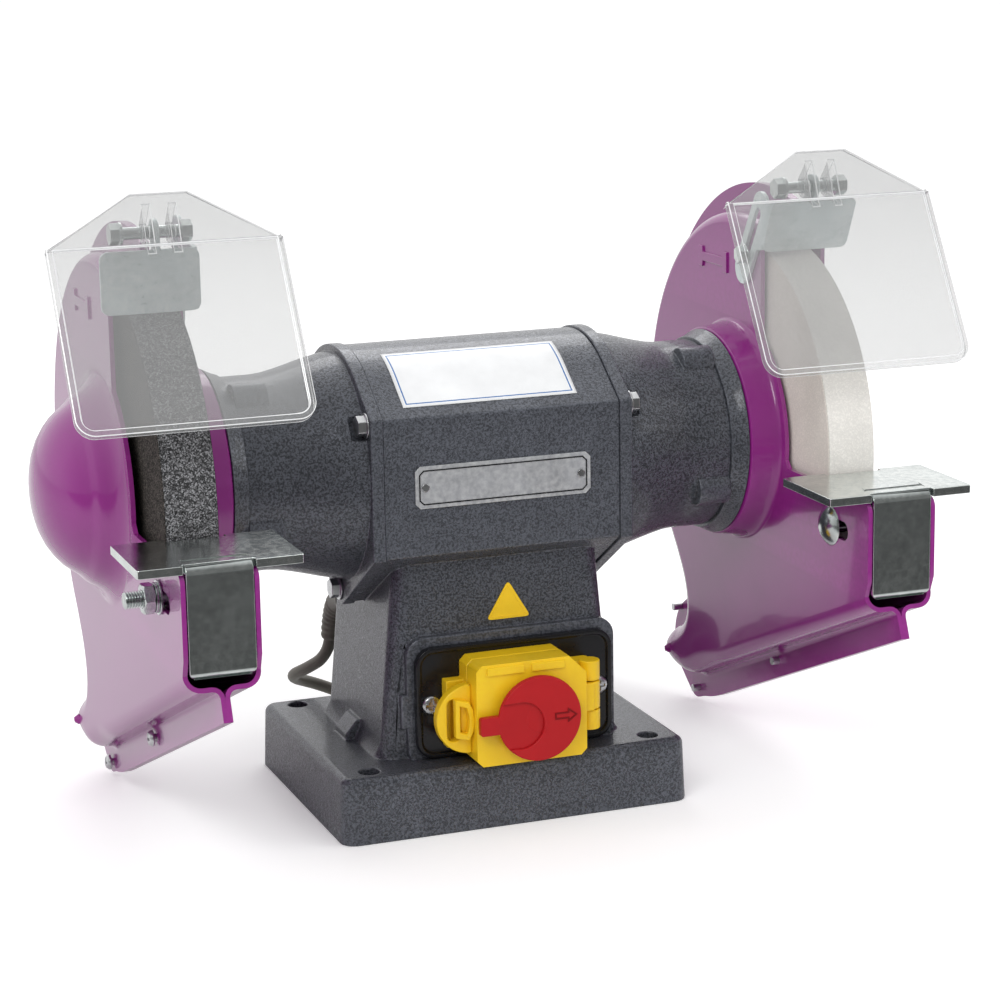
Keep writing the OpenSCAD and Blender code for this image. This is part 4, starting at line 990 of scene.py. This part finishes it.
# ------------------------------------------------------------------ switch
def add_switch():
    """Moulded plate, housing, lid with its latch and hasp, and the stop pad."""
    edge = sizes().plastic_edge
    # Plate: a shallow tray with a raised border, open behind the housing
    shape = rounded((-46.8, 33.6), (56.0, 89.6), 9.0, 8)
    tray = outline_block("switch_tray", shape, *PLATE_Y, "y")
    open_part(tray, tray.data.polygons, lambda face: face.normal.y < -0.9)
    bpy.ops.mesh.inset(thickness=PLATE_BORDER * MM)
    depth = (PLATE_FRONT - PLATE_Y[1]) * MM
    bpy.ops.mesh.extrude_region_move(TRANSFORM_OT_translate={"value": (0, depth, 0)})
    bpy.ops.transform.resize(value=(0.99, 1, 0.985), center_override=(0.0046, PLATE_FRONT * MM, 0.0616))
    close_edit()
    opening = outline_block("tray_opening", rounded((-21.4, 45.0), (28.6, 81.0), 1.0, 2), -60.0, -49.0, "y")
    combine(tray, opening, "DIFFERENCE")
    finish(tray, "black_plastic", "machine", "switch_plate")
    soften(tray, 0.0006, 3)
    rounded_copy("switch_screws", 0.0003)
    rounded_copy("switch_housing", edge, 3)
    rounded_copy("switch_lid", edge * 1.4, 3, 50, True)
    bore, outer = KNUCKLE_R
    for word, body, low, high in KNUCKLES:
        profile = [(bore, 0.0), (outer, 0.0), (outer, high - low), (bore, high - low)]
        knuckle = turned_piece(f"hinge_knuckle_{word}", profile, (*HINGE_AT, low), "z", 32)
        finish(knuckle, "yellow_plastic", body)
        soften(knuckle, 0.0006, 3)
    rounded_copy("lid_latch", edge * 1.2, 3)

    # Hasp: a loop standing out of the latch's slot, over the lid's edge
    hasp = outline_block("latch_hasp", HASP, *HASP_Y, "y")
    combine(hasp, outline_block("latch_hasp_gap", HASP_GAP, -80.0, -70.0, "y"), "DIFFERENCE")
    finish(hasp, "yellow_plastic", "lid")
    soften(hasp, edge, 3)
    add_stop_pad()
    rounded_copy("start_button", 0.0004)
    rounded_copy("stop_button", 0.0004)


def add_stop_pad():
    """A disc on a stem with a pull tab. A raised cheek leaves a thumb recess free, open towards
    the tab, and carries an arrow."""
    x, z = PAD_AT
    pad = turned_piece("stop_disc", PAD_DISC, (x, DISC_Y, z), "-y", 96)
    thumb = [(x - 9.8 + THUMB_R * math.sin(a), z - 2.5 - THUMB_R * math.cos(a)) for a in
             (math.radians(7.5 * k) for k in range(25))]
    rim = [(x + CHEEK_R * math.cos(a), z + CHEEK_R * math.sin(a)) for a in
           (math.radians(155.4 - 5.065 * k) for k in range(58))]
    cheek = outline_block("stop_cheek", [(x - 15.7, z - 13.9), *thumb, *rim], *CHEEK_Y, "y")
    finish(cheek, "red_plastic", "stop_pad")
    soften(cheek, 0.0007, 3)
    stem = turned_piece("stop_stem", PAD_STEM, (x, STEM_Y, z), "-y")
    tab = outline_block("stop_tab", rounded((-24.6, 51.4), (-13.0, 60.6), 1.2, 4), *PULL_Y, "y")
    join_pieces(pad, stem, tab)
    finish(pad, "red_plastic", "stop_pad", "stop_pad")
    soften(pad, 0.0004, 3)
    mark = outline_block("stop_arrow", ARROW, *ARROW_Y, "y", 0.7)
    finish(mark, "red_plastic", "stop_pad")
    # The raised arrow takes the darker red: painted shade along its lines.
    mark.data.materials[0] = FINISHES["arrow"]


# -------------------------------------------------------------- guard shells
def lerp_table(table, x):
    """Reads a table of (x, value), x falling or rising, with straight steps."""
    rows = sorted(table)
    if x <= rows[0][0]:
        return rows[0][1]
    for (x0, v0), (x1, v1) in zip(rows, rows[1:]):
        if x <= x1:
            return v0 + (v1 - v0) * (x - x0) / (x1 - x0)
    return rows[-1][1]


def wall_path():
    """Outline of the guard's wall in (y, z), from the mouth's top, over the back, to the chute's front."""
    start = math.asin(MOUTH_Y / GUARD_R)
    end = math.radians(120)
    arc = [start + (end - start) * k / 80 for k in range(80)]
    points = [(GUARD_R * math.sin(a), AXIS_Z + GUARD_R * math.cos(a)) for a in arc]
    points += catmull(REAR_POINTS, 5)
    back, low = REAR_POINTS[-1]
    floor = [back + (CHUTE_FRONT - back) * k / 24 for k in range(1, 25)]
    points += [(y, low + (back - y) * CHUTE_SLOPE) for y in floor]
    return points


def path_normals(points):
    """Unit normals that point into the guard, smoothed along the line."""
    out = []
    for i in range(len(points)):
        a, b = points[max(i - 1, 0)], points[min(i + 1, len(points) - 1)]
        dy, dz = b[0] - a[0], b[1] - a[1]
        size = math.hypot(dy, dz)
        out.append((dz / size, -dy / size))
    for _ in range(10):
        between = [tuple((a[i] + 2 * b[i] + c[i]) / 4 for i in (0, 1))
                   for a, b, c in zip(out, out[1:], out[2:])]
        out = [out[0], *between, out[-1]]
    return [(y / math.hypot(y, z), z / math.hypot(y, z)) for y, z in out]


def flange_width(y, z):
    """How far the seam's flange stands out, wider at its lower rear corner."""
    if z < 24 and y > 60:
        return 14.0 + 4.5 * math.exp(-((y - 80) / 7.0) ** 2)
    return 14.2


def shell_rows():
    """Each wall point's section: (inset from the wall, height over the seam)."""
    points = wall_path()
    rows = []
    for (y, z), (ny, nz) in zip(points, path_normals(points)):
        bend = lerp_table(BEND_BY_HEIGHT, z) if y > 40 else (8.0 if z < CHUTE_TOP else 6.0)
        if 20 < y <= 40 and z < 100:
            bend = 8.0 + (lerp_table(BEND_BY_HEIGHT, z) - 8.0) * (y - 20) / 20
        wide = flange_width(y, z)
        section = [(bend * (1 - math.sin(a)), GUARD_HALF - bend * (1 - math.cos(a)))
                   for a in (math.radians(11.25 * k) for k in range(9))]
        foot = 3.4
        section += [(0.0, SHEET + foot + (GUARD_HALF - bend - SHEET - foot) * k) for k in (0.5, 0.0)]
        section += [(-foot * (1 - math.cos(a)), SHEET + foot * (1 - math.sin(a)))
                    for a in (math.radians(22.5 * k) for k in range(1, 5))]
        section += [(-foot - (wide - foot) * k, SHEET) for k in (0.5, 1.0)]
        rows.append([(y + ny * i, z + nz * i, h) for i, h in section])
    return rows


def free_edge(first, last):
    """The plate's cut edge in (y, z), from the chute's front, round the boss, to the mouth's top."""
    out = [(CHUTE_FRONT, last[1] + (CHUTE_TOP - last[1]) * k / 6) for k in range(1, 6)]
    corner = 5.0
    out += [(CHUTE_FRONT + corner * (1 - math.cos(a)), CHUTE_TOP - corner * (1 - math.sin(a)))
            for a in (math.radians(15 * k) for k in range(7))]
    drop = CHUTE_TOP - AXIS_Z
    low = math.atan2(drop, -math.sqrt(MOUTH_R ** 2 - drop ** 2)) % (2 * math.pi)
    start = CHUTE_FRONT + corner
    out += [(start + (MOUTH_R * math.cos(low) - start - 4) * k / 8, CHUTE_TOP) for k in range(1, 9)]
    high = math.pi - math.acos(-MOUTH_Y / MOUTH_R)
    out += [(MOUTH_R * math.cos(a), AXIS_Z + MOUTH_R * math.sin(a))
            for a in (low + (high - low) * k / 18 for k in range(1, 19))]
    top = first[1]
    base = out[-1][1]
    out += [(MOUTH_Y, base + (top - base) * k / 8) for k in range(1, 8)]
    return out


def ring_points(radius, count):
    """A circle round the shaft in (y, z)."""
    return [(radius * math.sin(a), AXIS_Z + radius * math.cos(a))
            for a in (2 * math.pi * k / count for k in range(count))]


def slot_points(y0, y1, z, r):
    """A slot with round ends in (y, z)."""
    left = [(y0 - r * math.sin(a), z + r * math.cos(a)) for a in (math.radians(15 * k) for k in range(13))]
    right = [(y1 + r * math.sin(a), z - r * math.cos(a)) for a in (math.radians(15 * k) for k in range(13))]
    return left + right


def guard_shell(name, side, outer):
    """One pressed half of a guard. side is -1 or 1; outer is the half away from the motor."""
    away = 1 if outer else -1
    mesh = bmesh.new()

    def vert(y, z, h):
        return mesh.verts.new((side * (SEAM_X + away * h) * MM, y * MM, z * MM))

    rows = [[vert(*p) for p in row] for row in shell_rows()]
    for a, b in zip(rows, rows[1:]):
        for i in range(len(a) - 1):
            mesh.faces.new((a[i], b[i], b[i + 1], a[i + 1]))
    first = rows[0][0].co.yz / MM
    last = rows[-1][0].co.yz / MM
    edge = [vert(y, z, GUARD_HALF) for y, z in free_edge(first, last)]
    # The bend's ends at the mouth and at the chute's front are cut straight across
    outline = [row[0] for row in rows] + edge
    count = 96
    profile = OUTER_BOSS if outer else INNER_BOSS
    rings = []
    for r, h in profile:
        rings.append([vert(y, z, h) for y, z in ring_points(r, count)] if r else [vert(0.0, AXIS_Z, h)])
    for a, b in zip(rings, rings[1:]):
        for k in range(count):
            n = (k + 1) % count
            if len(b) == 1:
                mesh.faces.new((a[k], a[n], b[0]))
            else:
                mesh.faces.new((a[k], a[n], b[n], b[k]))
    slot = [vert(y, z, GUARD_HALF) for y, z in slot_points(*SLOT_Y, BOLT_Z, SLOT_R)]
    loops = [outline, rings[0], slot]
    flat = [v for loop in loops for v in loop]
    for tri in tessellate_polygon([[Vector((v.co.y, v.co.z, 0)) for v in loop] for loop in loops]):
        mesh.faces.new([flat[i] for i in tri])
    bmesh.ops.recalc_face_normals(mesh, faces=mesh.faces)
    deselect()
    bpy.ops.mesh.primitive_plane_add(size=0.01)
    obj = named(bpy.context.object, name)
    mesh.to_mesh(obj.data)
    mesh.free()
    # Normals face away from the seam, so the sheet's thickness goes inwards
    probe = max(obj.data.polygons, key=lambda p: p.area)
    if probe.normal.x * side * away < 0:
        obj.data.flip_normals()
    solid = obj.modifiers.new("Sheet", "SOLIDIFY")
    solid.thickness = SHEET * MM
    solid.offset = -1
    return soften(obj, sizes().sheet_edge, 3, 40, True)


def add_guards():
    """Four pressed shells, with the raised mark on each."""
    for word, side in SIDES:
        for half in ("inner", "outer"):
            piece = guard_shell(f"guard_{half}_shell_{word}", side, half == "outer")
            finish(piece, "guard_paint", "machine", f"guard_{half}_{word}")
            away = GUARD_HALF if half == "outer" else -GUARD_HALF
            low, high = sorted((side * (SEAM_X + away * 0.97), side * (SEAM_X + away * 1.056)))
            raised = outline_block(f"guard_{half}_mark_{word}", GUARD_MARK, low, high, "x")
            finish(raised, "guard_paint", "machine")
            soften(raised, 0.0004, 2, 30, True)
        rounded_copy(f"guard_seam_screws_{word}", 0.0003)


# --------------------------------------------------------------------- wheels
def add_wheels():
    """Grit wheels with soft corners, with their flanges and nuts."""
    for word, _ in SIDES:
        rounded_copy(f"wheel_{word}", 0.0006, angle=20)
        rounded_copy(f"wheel_flanges_{word}", 0.0003)
        rounded_copy(f"wheel_nut_{word}", 0.0005)


# ----------------------------------------------------------------- tool rests
def arc(centre, radius, start, end, steps):
    """Points of an arc between two angles in degrees."""
    turns = (math.radians(start + (end - start) * k / steps) for k in range(steps + 1))
    return [(centre[0] + radius * math.cos(a), centre[1] + radius * math.sin(a)) for a in turns]


def rest_piece(name):
    """Right-hand rest: a plate notched round the wheel, with its tab bent down and a side lug."""
    x0, x1 = REST_X
    y0, y1 = REST_Y
    t0, t1 = TAB_X
    low = REST_TOP - REST_T
    shape = [(x0, y0 + 1.5), (x0 + 0.5, y0 + 0.5), (x0 + 1.5, y0), (t0 - 1.3, y0), (t0 - 1.3, y0 + 2.6),
             (t0 - 0.7, y0 + 3.4), (t0, y0 + 3.0), (t1, y0 + 3.0), (t1 + 0.7, y0 + 3.4), (t1 + 1.3, y0 + 2.6),
             (t1 + 1.3, y0), (x1 - 1.5, y0), (x1 - 0.5, y0 + 0.5), (x1, y0 + 1.5), (x1, y1 - 1.5),
             (x1 - 0.5, y1 - 0.5), (x1 - 1.5, y1), (180.5, y1), (180.5, y1 - 3.6), (151.5, y1 - 3.6),
             (151.5, y1), (x0 + 1.5, y1), (x0 + 0.5, y1 - 0.5), (x0, y1 - 1.5)]
    rest = outline_block(name, shape, low, REST_TOP, "z")
    inner, outer = BEND_R
    profile = [(-140.0, REST_TOP), *arc(BEND_AT, outer, 90, 180, 8), (TAB_Y[0], TAB_LOW),
               (TAB_Y[1], TAB_LOW), *arc(BEND_AT, inner, 180, 90, 6), (-140.0, REST_TOP - 3.6)]
    tab = outline_block(name + "_tab", profile, t0, t1, "x")

    def lower_corner(edge):
        a, b = (tab.data.vertices[i].co for i in edge.vertices)
        return max(abs(a.z - TAB_LOW * MM), abs(b.z - TAB_LOW * MM)) < 1e-5 and abs(a.x - b.x) < 1e-6

    open_part(tab, tab.data.edges, lower_corner)
    bpy.ops.mesh.select_mode(type="EDGE")
    bpy.ops.mesh.bevel(offset=0.003, segments=4, affect="EDGES")
    bpy.ops.mesh.select_mode(type="VERT")
    close_edit()
    combine(rest, tab, "UNION")
    lug = outline_block(name + "_lug", rounded((-149.4, 130.6), (-100.6, 166.0), 6.0), 179.2, t1, "x")
    hole = turned_piece(name + "_hole", [(4.1, 0.0), (4.1, 10.0)], (175.0, BOLT_Y, BOLT_Z), "x", 32)
    combine(lug, hole, "DIFFERENCE")
    return join_pieces(rest, lug)


def rest_bolt_piece(name):
    """Right-hand carriage bolt: domed head, plain neck and a cut thread."""
    head = SEAM_X - GUARD_HALF - BOLT_GAP
    nut = SEAM_X + GUARD_HALF + BOLT_GAP
    profile = [(r, head + 8.0 - math.sqrt(HEAD_R ** 2 - r ** 2)) for r in BOLT_HEAD]
    profile += [(10.0, head + 0.25), (9.0, head + 0.3), (4.0, head + 0.3), (4.0, nut + 3.0)]
    x = nut + 3.0
    while x < nut + 14.5:
        profile += [(3.42, x + 0.45), (3.42, x + 0.62), (3.98, x + 1.06), (3.98, x + THREAD_PITCH)]
        x += THREAD_PITCH
    profile += [(3.9, nut + 15.7), (3.2, nut + 16.2)]
    bolt = turned_piece(name, profile, (0.0, BOLT_Y, BOLT_Z), "x", 40)
    neck = outline_block(name + "_neck", rounded((BOLT_Y - 4, BOLT_Z - 4), (BOLT_Y + 4, BOLT_Z + 4), 0.5, 2),
                         head + 0.1, head + 2.4, "x")
    join_pieces(bolt, neck)
    bolt.data.set_sharp_from_angle(angle=math.radians(50))
    shade_faces(bolt)
    return bolt


def hex_nut_piece(name, centre, flats, thick, bore):
    """A hexagon nut across x, with its corners turned off at both ends."""
    tip = flats / math.sqrt(3)
    nut = turned_piece(name, [(tip, 0.0), (tip, thick)], centre, "x", 6)
    face, wide = flats / 2 * 0.97, tip + 0.1
    cone = [(face, 0.0), (wide, thick * 0.16), (wide, thick * 0.84), (face, thick)]
    combine(nut, turned_piece(name + "_cone", cone, centre, "x"), "INTERSECT")
    hole = [(bore + 0.6, -0.1), (bore, 0.7), (bore, thick - 0.7), (bore + 0.6, thick + 0.1)]
    return combine(nut, turned_piece(name + "_bore", hole, centre, "x", 40), "DIFFERENCE")


def washer_piece(name, centre, outer, inner, thick):
    """A washer across x, with its outer edges broken."""
    profile = [(outer - 0.2, 0.0), (outer, 0.2), (outer, thick - 0.2), (outer - 0.2, thick)]
    washer = turned_piece(name, profile, centre, "x")
    hole = turned_piece(name + "_bore", [(inner, -0.5), (inner, thick + 0.5)], centre, "x", 40)
    return combine(washer, hole, "DIFFERENCE")


def add_rests():
    """Rests with their carriage bolts, washers and nuts, the left ones mirrored."""
    nut_x = SEAM_X + GUARD_HALF + BOLT_GAP
    for word, side in SIDES:
        rest = rest_piece(f"tool_rest_{word}_dressed")
        bolt = rest_bolt_piece(f"rest_bolt_{word}_dressed")
        nut = hex_nut_piece(f"rest_nut_{word}_dressed", (nut_x + NUT_AT, BOLT_Y, BOLT_Z), 13.0, 5.4, 4.0)
        flat = washer_piece("rest_washer", (nut_x, BOLT_Y, BOLT_Z), *WASHER)
        spring = washer_piece("rest_lock_washer", (nut_x + LOCK_WASHER_AT, BOLT_Y, BOLT_Z), *LOCK_WASHER)
        join_pieces(nut, flat, spring)
        for piece, kind in ((rest, "tool_rest"), (bolt, "rest_bolt"), (nut, "rest_nut")):
            if side < 0:
                mirror_x(piece)
            finish(piece, "zinc", f"rest_{word}", f"{kind}_{word}")
        soften(rest, sizes().plated_edge, 3, 30)
        soften(nut, 0.0002, 2, 30)


# ------------------------------------------------- deflectors and eye shields
def add_shields():
    """Spark deflectors, their screws and pivot bolts, and the flat clear shields with a painted highlight on
    their edges.
    """
    for word, _ in SIDES:
        plate = rounded_copy(f"deflector_{word}", sizes().plated_edge)
        plate.data.materials[0] = FINISHES["pale_zinc"]
        rounded_copy(f"deflector_screw_{word}", 0.0003)
        rounded_copy(f"visor_bolt_{word}", 0.0003)
        pane = rounded_copy(f"visor_{word}", 0.0004, angle=40, flat=0.0)
        pane.modifiers.remove(pane.modifiers["Normals"])
        # The shields' rounded edges take the near-white finish: a painted highlight.
        pane.data.materials.append(FINISHES["shield_rim_highlight"])
        pane.modifiers["Edges"].material = 1
        shade_faces(pane, False)


# ---------------------------------------------------------------------- stage
def floor_material():
    """Pale floor: near white to the camera, with the shadow kept, and softer as bounced light.
    Gloss sees its front part as a dark card, so that faces that look forwards keep their depth."""
    mat, tree, bsdf = new_tree("Pale floor")
    path = node(tree, "ShaderNodeLightPath").outputs
    away = node(tree, "ShaderNodeSeparateXYZ", {0: mapped(tree)}).outputs[1]
    card = node(tree, "ShaderNodeMapRange", {0: away, 1: CARD_Y[0], 2: CARD_Y[1], 3: 1.0, 4: 0.0}).outputs[0]
    card = math_node(tree, "MULTIPLY", card, path["Is Glossy Ray"])
    tone = mix_rgb(tree, card, (FLOOR_TONE,) * 3, (CARD_TONE,) * 3)
    tone = mix_rgb(tree, path["Is Camera Ray"], tone, (FLOOR_SEEN,) * 3)
    tree.links.new(tone, bsdf.inputs["Base Color"])
    bsdf.inputs["Roughness"].default_value = 0.9
    bsdf.inputs["Specular IOR Level"].default_value = 0.0
    bsdf.inputs["Emission Color"].default_value = (1, 1, 1, 1)
    glow = math_node(tree, "MULTIPLY", path["Is Camera Ray"], FLOOR_GLOW)
    tree.links.new(glow, bsdf.inputs["Emission Strength"])
    return mat


def studio_world():
    """White surround to the camera and through glass, softer as light. To gloss it is white
    behind the machine and falls to a dark grey before it."""
    world = bpy.data.worlds.new("Studio")
    world.use_nodes = True
    tree = world.node_tree
    back = tree.nodes["Background"]
    path = node(tree, "ShaderNodeLightPath").outputs
    seen = math_node(tree, "MAXIMUM", path["Is Camera Ray"], path["Is Transmission Ray"])
    view = node(tree, "ShaderNodeTexCoord").outputs["Generated"]
    depth = node(tree, "ShaderNodeSeparateXYZ", {0: view}).outputs[1]
    front, behind = SURROUND_TURN
    gloss = node(tree, "ShaderNodeMapRange", {0: depth, 1: front, 2: behind, 3: SURROUND_FRONT, 4: 1.0})
    extra = math_node(tree, "SUBTRACT", gloss.outputs[0], SURROUND_LIGHT)
    light = math_node(tree, "ADD", math_node(tree, "MULTIPLY", path["Is Glossy Ray"], extra), SURROUND_LIGHT)
    strength = node(tree, "ShaderNodeMapRange", {0: seen, 3: light, 4: 1.0}).outputs[0]
    back.inputs[0].default_value = (1, 1, 1, 1)
    tree.links.new(strength, back.inputs[1])
    return world


def area_light(name, at, aim, width, depth, power):
    """A rectangular lamp at a place, turned to face another."""
    data = bpy.data.lights.new(name, "AREA")
    data.shape = "RECTANGLE"
    data.size = width
    data.size_y = depth
    data.energy = power
    light = bpy.data.objects.new(name, data)
    light.location = at
    light.rotation_euler = (Vector(aim) - Vector(at)).to_track_quat("-Z", "Y").to_euler()
    bpy.context.scene.collection.objects.link(light)


def add_stage():
    """Pale floor, soft lamps and the surround."""
    deselect()
    bpy.ops.mesh.primitive_plane_add(size=40)
    floor = named(bpy.context.object, "Floor")
    floor.data.materials.append(floor_material())
    bpy.context.scene.world = studio_world()
    bpy.context.scene.view_settings.view_transform = "Standard"
    key = sizes().key_power
    area_light("Key", (-1.2, -1.4, 1.7), (0, 0, 0.12), 1.0, 0.8, key)
    area_light("Fill right", (1.5, -0.8, 0.9), (0, 0, 0.15), 0.8, 0.8, key * 0.25)
    area_light("Rim", (0.5, 1.4, 1.5), (0, 0, 0.15), 1.2, 0.8, key * 0.6)


# ------------------------------------------------------------------ operators
def need_nodes():
    """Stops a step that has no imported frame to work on."""
    if not frame["nodes"]:
        raise RuntimeError("the packed frame has no nodes")


class GRINDER_OT_camera(bpy.types.Operator):
    """Place the camera"""
    bl_idname = "grinder.camera"
    bl_label = "Camera"
    bl_options = {"REGISTER", "UNDO"}

    def execute(self, context):
        need_nodes()
        add_camera()
        return {"FINISHED"}


class GRINDER_OT_finishes(bpy.types.Operator):
    """Make the finishes and give every node its own"""
    bl_idname = "grinder.finishes"
    bl_label = "Finishes"
    bl_options = {"REGISTER", "UNDO"}

    def execute(self, context):
        need_nodes()
        add_finishes()
        return {"FINISHED"}


class GRINDER_OT_mains_lead(bpy.types.Operator):
    """Lay the mains lead with its sleeve, coil, tie and plug"""
    bl_idname = "grinder.mains_lead"
    bl_label = "Mains lead"
    bl_options = {"REGISTER", "UNDO"}

    def execute(self, context):
        need_nodes()
        add_mains_lead()
        return {"FINISHED"}


class GRINDER_OT_motor(bpy.types.Operator):
    """Dress the castings, their bolts, the plates and the label"""
    bl_idname = "grinder.motor"
    bl_label = "Motor and base"
    bl_options = {"REGISTER", "UNDO"}

    def execute(self, context):
        need_nodes()
        add_motor()
        return {"FINISHED"}


class GRINDER_OT_switch(bpy.types.Operator):
    """Dress the switch, its lid and the stop pad"""
    bl_idname = "grinder.switch"
    bl_label = "Switch"
    bl_options = {"REGISTER", "UNDO"}

    def execute(self, context):
        need_nodes()
        add_switch()
        return {"FINISHED"}


class GRINDER_OT_guards(bpy.types.Operator):
    """Form the pressed guard shells"""
    bl_idname = "grinder.guards"
    bl_label = "Wheel guards"
    bl_options = {"REGISTER", "UNDO"}

    def execute(self, context):
        need_nodes()
        add_guards()
        return {"FINISHED"}


class GRINDER_OT_wheels(bpy.types.Operator):
    """Dress the wheels and their clamping parts"""
    bl_idname = "grinder.wheels"
    bl_label = "Wheels"
    bl_options = {"REGISTER", "UNDO"}

    def execute(self, context):
        need_nodes()
        add_wheels()
        return {"FINISHED"}


class GRINDER_OT_rests(bpy.types.Operator):
    """Form the tool rests, bolts and nuts"""
    bl_idname = "grinder.rests"
    bl_label = "Tool rests"
    bl_options = {"REGISTER", "UNDO"}

    def execute(self, context):
        need_nodes()
        add_rests()
        return {"FINISHED"}


class GRINDER_OT_shields(bpy.types.Operator):
    """Dress the spark deflectors and the clear shields"""
    bl_idname = "grinder.shields"
    bl_label = "Shields"
    bl_options = {"REGISTER", "UNDO"}

    def execute(self, context):
        need_nodes()
        add_shields()
        return {"FINISHED"}


class GRINDER_OT_stage(bpy.types.Operator):
    """Set up the floor, the lamps and the surround"""
    bl_idname = "grinder.stage"
    bl_label = "Stage"
    bl_options = {"REGISTER", "UNDO"}

    def execute(self, context):
        need_nodes()
        add_stage()
        return {"FINISHED"}


STEPS = (
    GRINDER_OT_camera, GRINDER_OT_finishes, GRINDER_OT_mains_lead, GRINDER_OT_motor, GRINDER_OT_switch,
    GRINDER_OT_guards, GRINDER_OT_wheels, GRINDER_OT_rests, GRINDER_OT_shields, GRINDER_OT_stage,
)


class GRINDER_PT_dressing(bpy.types.Panel):
    """The grinder's sizes, colours and steps"""
    bl_idname = "GRINDER_PT_dressing"
    bl_label = "Bench grinder"
    bl_space_type = "VIEW_3D"
    bl_region_type = "UI"
    bl_category = "Grinder"

    def draw(self, context):
        column = self.layout.column()
        for group in (context.scene.grinder_sizes, context.scene.grinder_colours):
            for name in group.__annotations__:
                column.prop(group, name)
        for step in STEPS:
            column.operator(step.bl_idname)


def register():
    for made in (GrinderSizes, GrinderColours, *STEPS, GRINDER_PT_dressing):
        bpy.utils.register_class(made)
    bpy.types.Scene.grinder_sizes = PointerProperty(type=GrinderSizes)
    bpy.types.Scene.grinder_colours = PointerProperty(type=GrinderColours)


def unregister():
    del bpy.types.Scene.grinder_colours
    del bpy.types.Scene.grinder_sizes
    for made in reversed((GrinderSizes, GrinderColours, *STEPS, GRINDER_PT_dressing)):
        bpy.utils.unregister_class(made)


def main():
    register()
    bpy.ops.grinder.camera()
    bpy.ops.grinder.finishes()
    bpy.ops.grinder.mains_lead()
    bpy.ops.grinder.motor()
    bpy.ops.grinder.switch()
    bpy.ops.grinder.guards()
    bpy.ops.grinder.wheels()
    bpy.ops.grinder.rests()
    bpy.ops.grinder.shields()
    bpy.ops.grinder.stage()


if __name__ == "__main__":
    main()
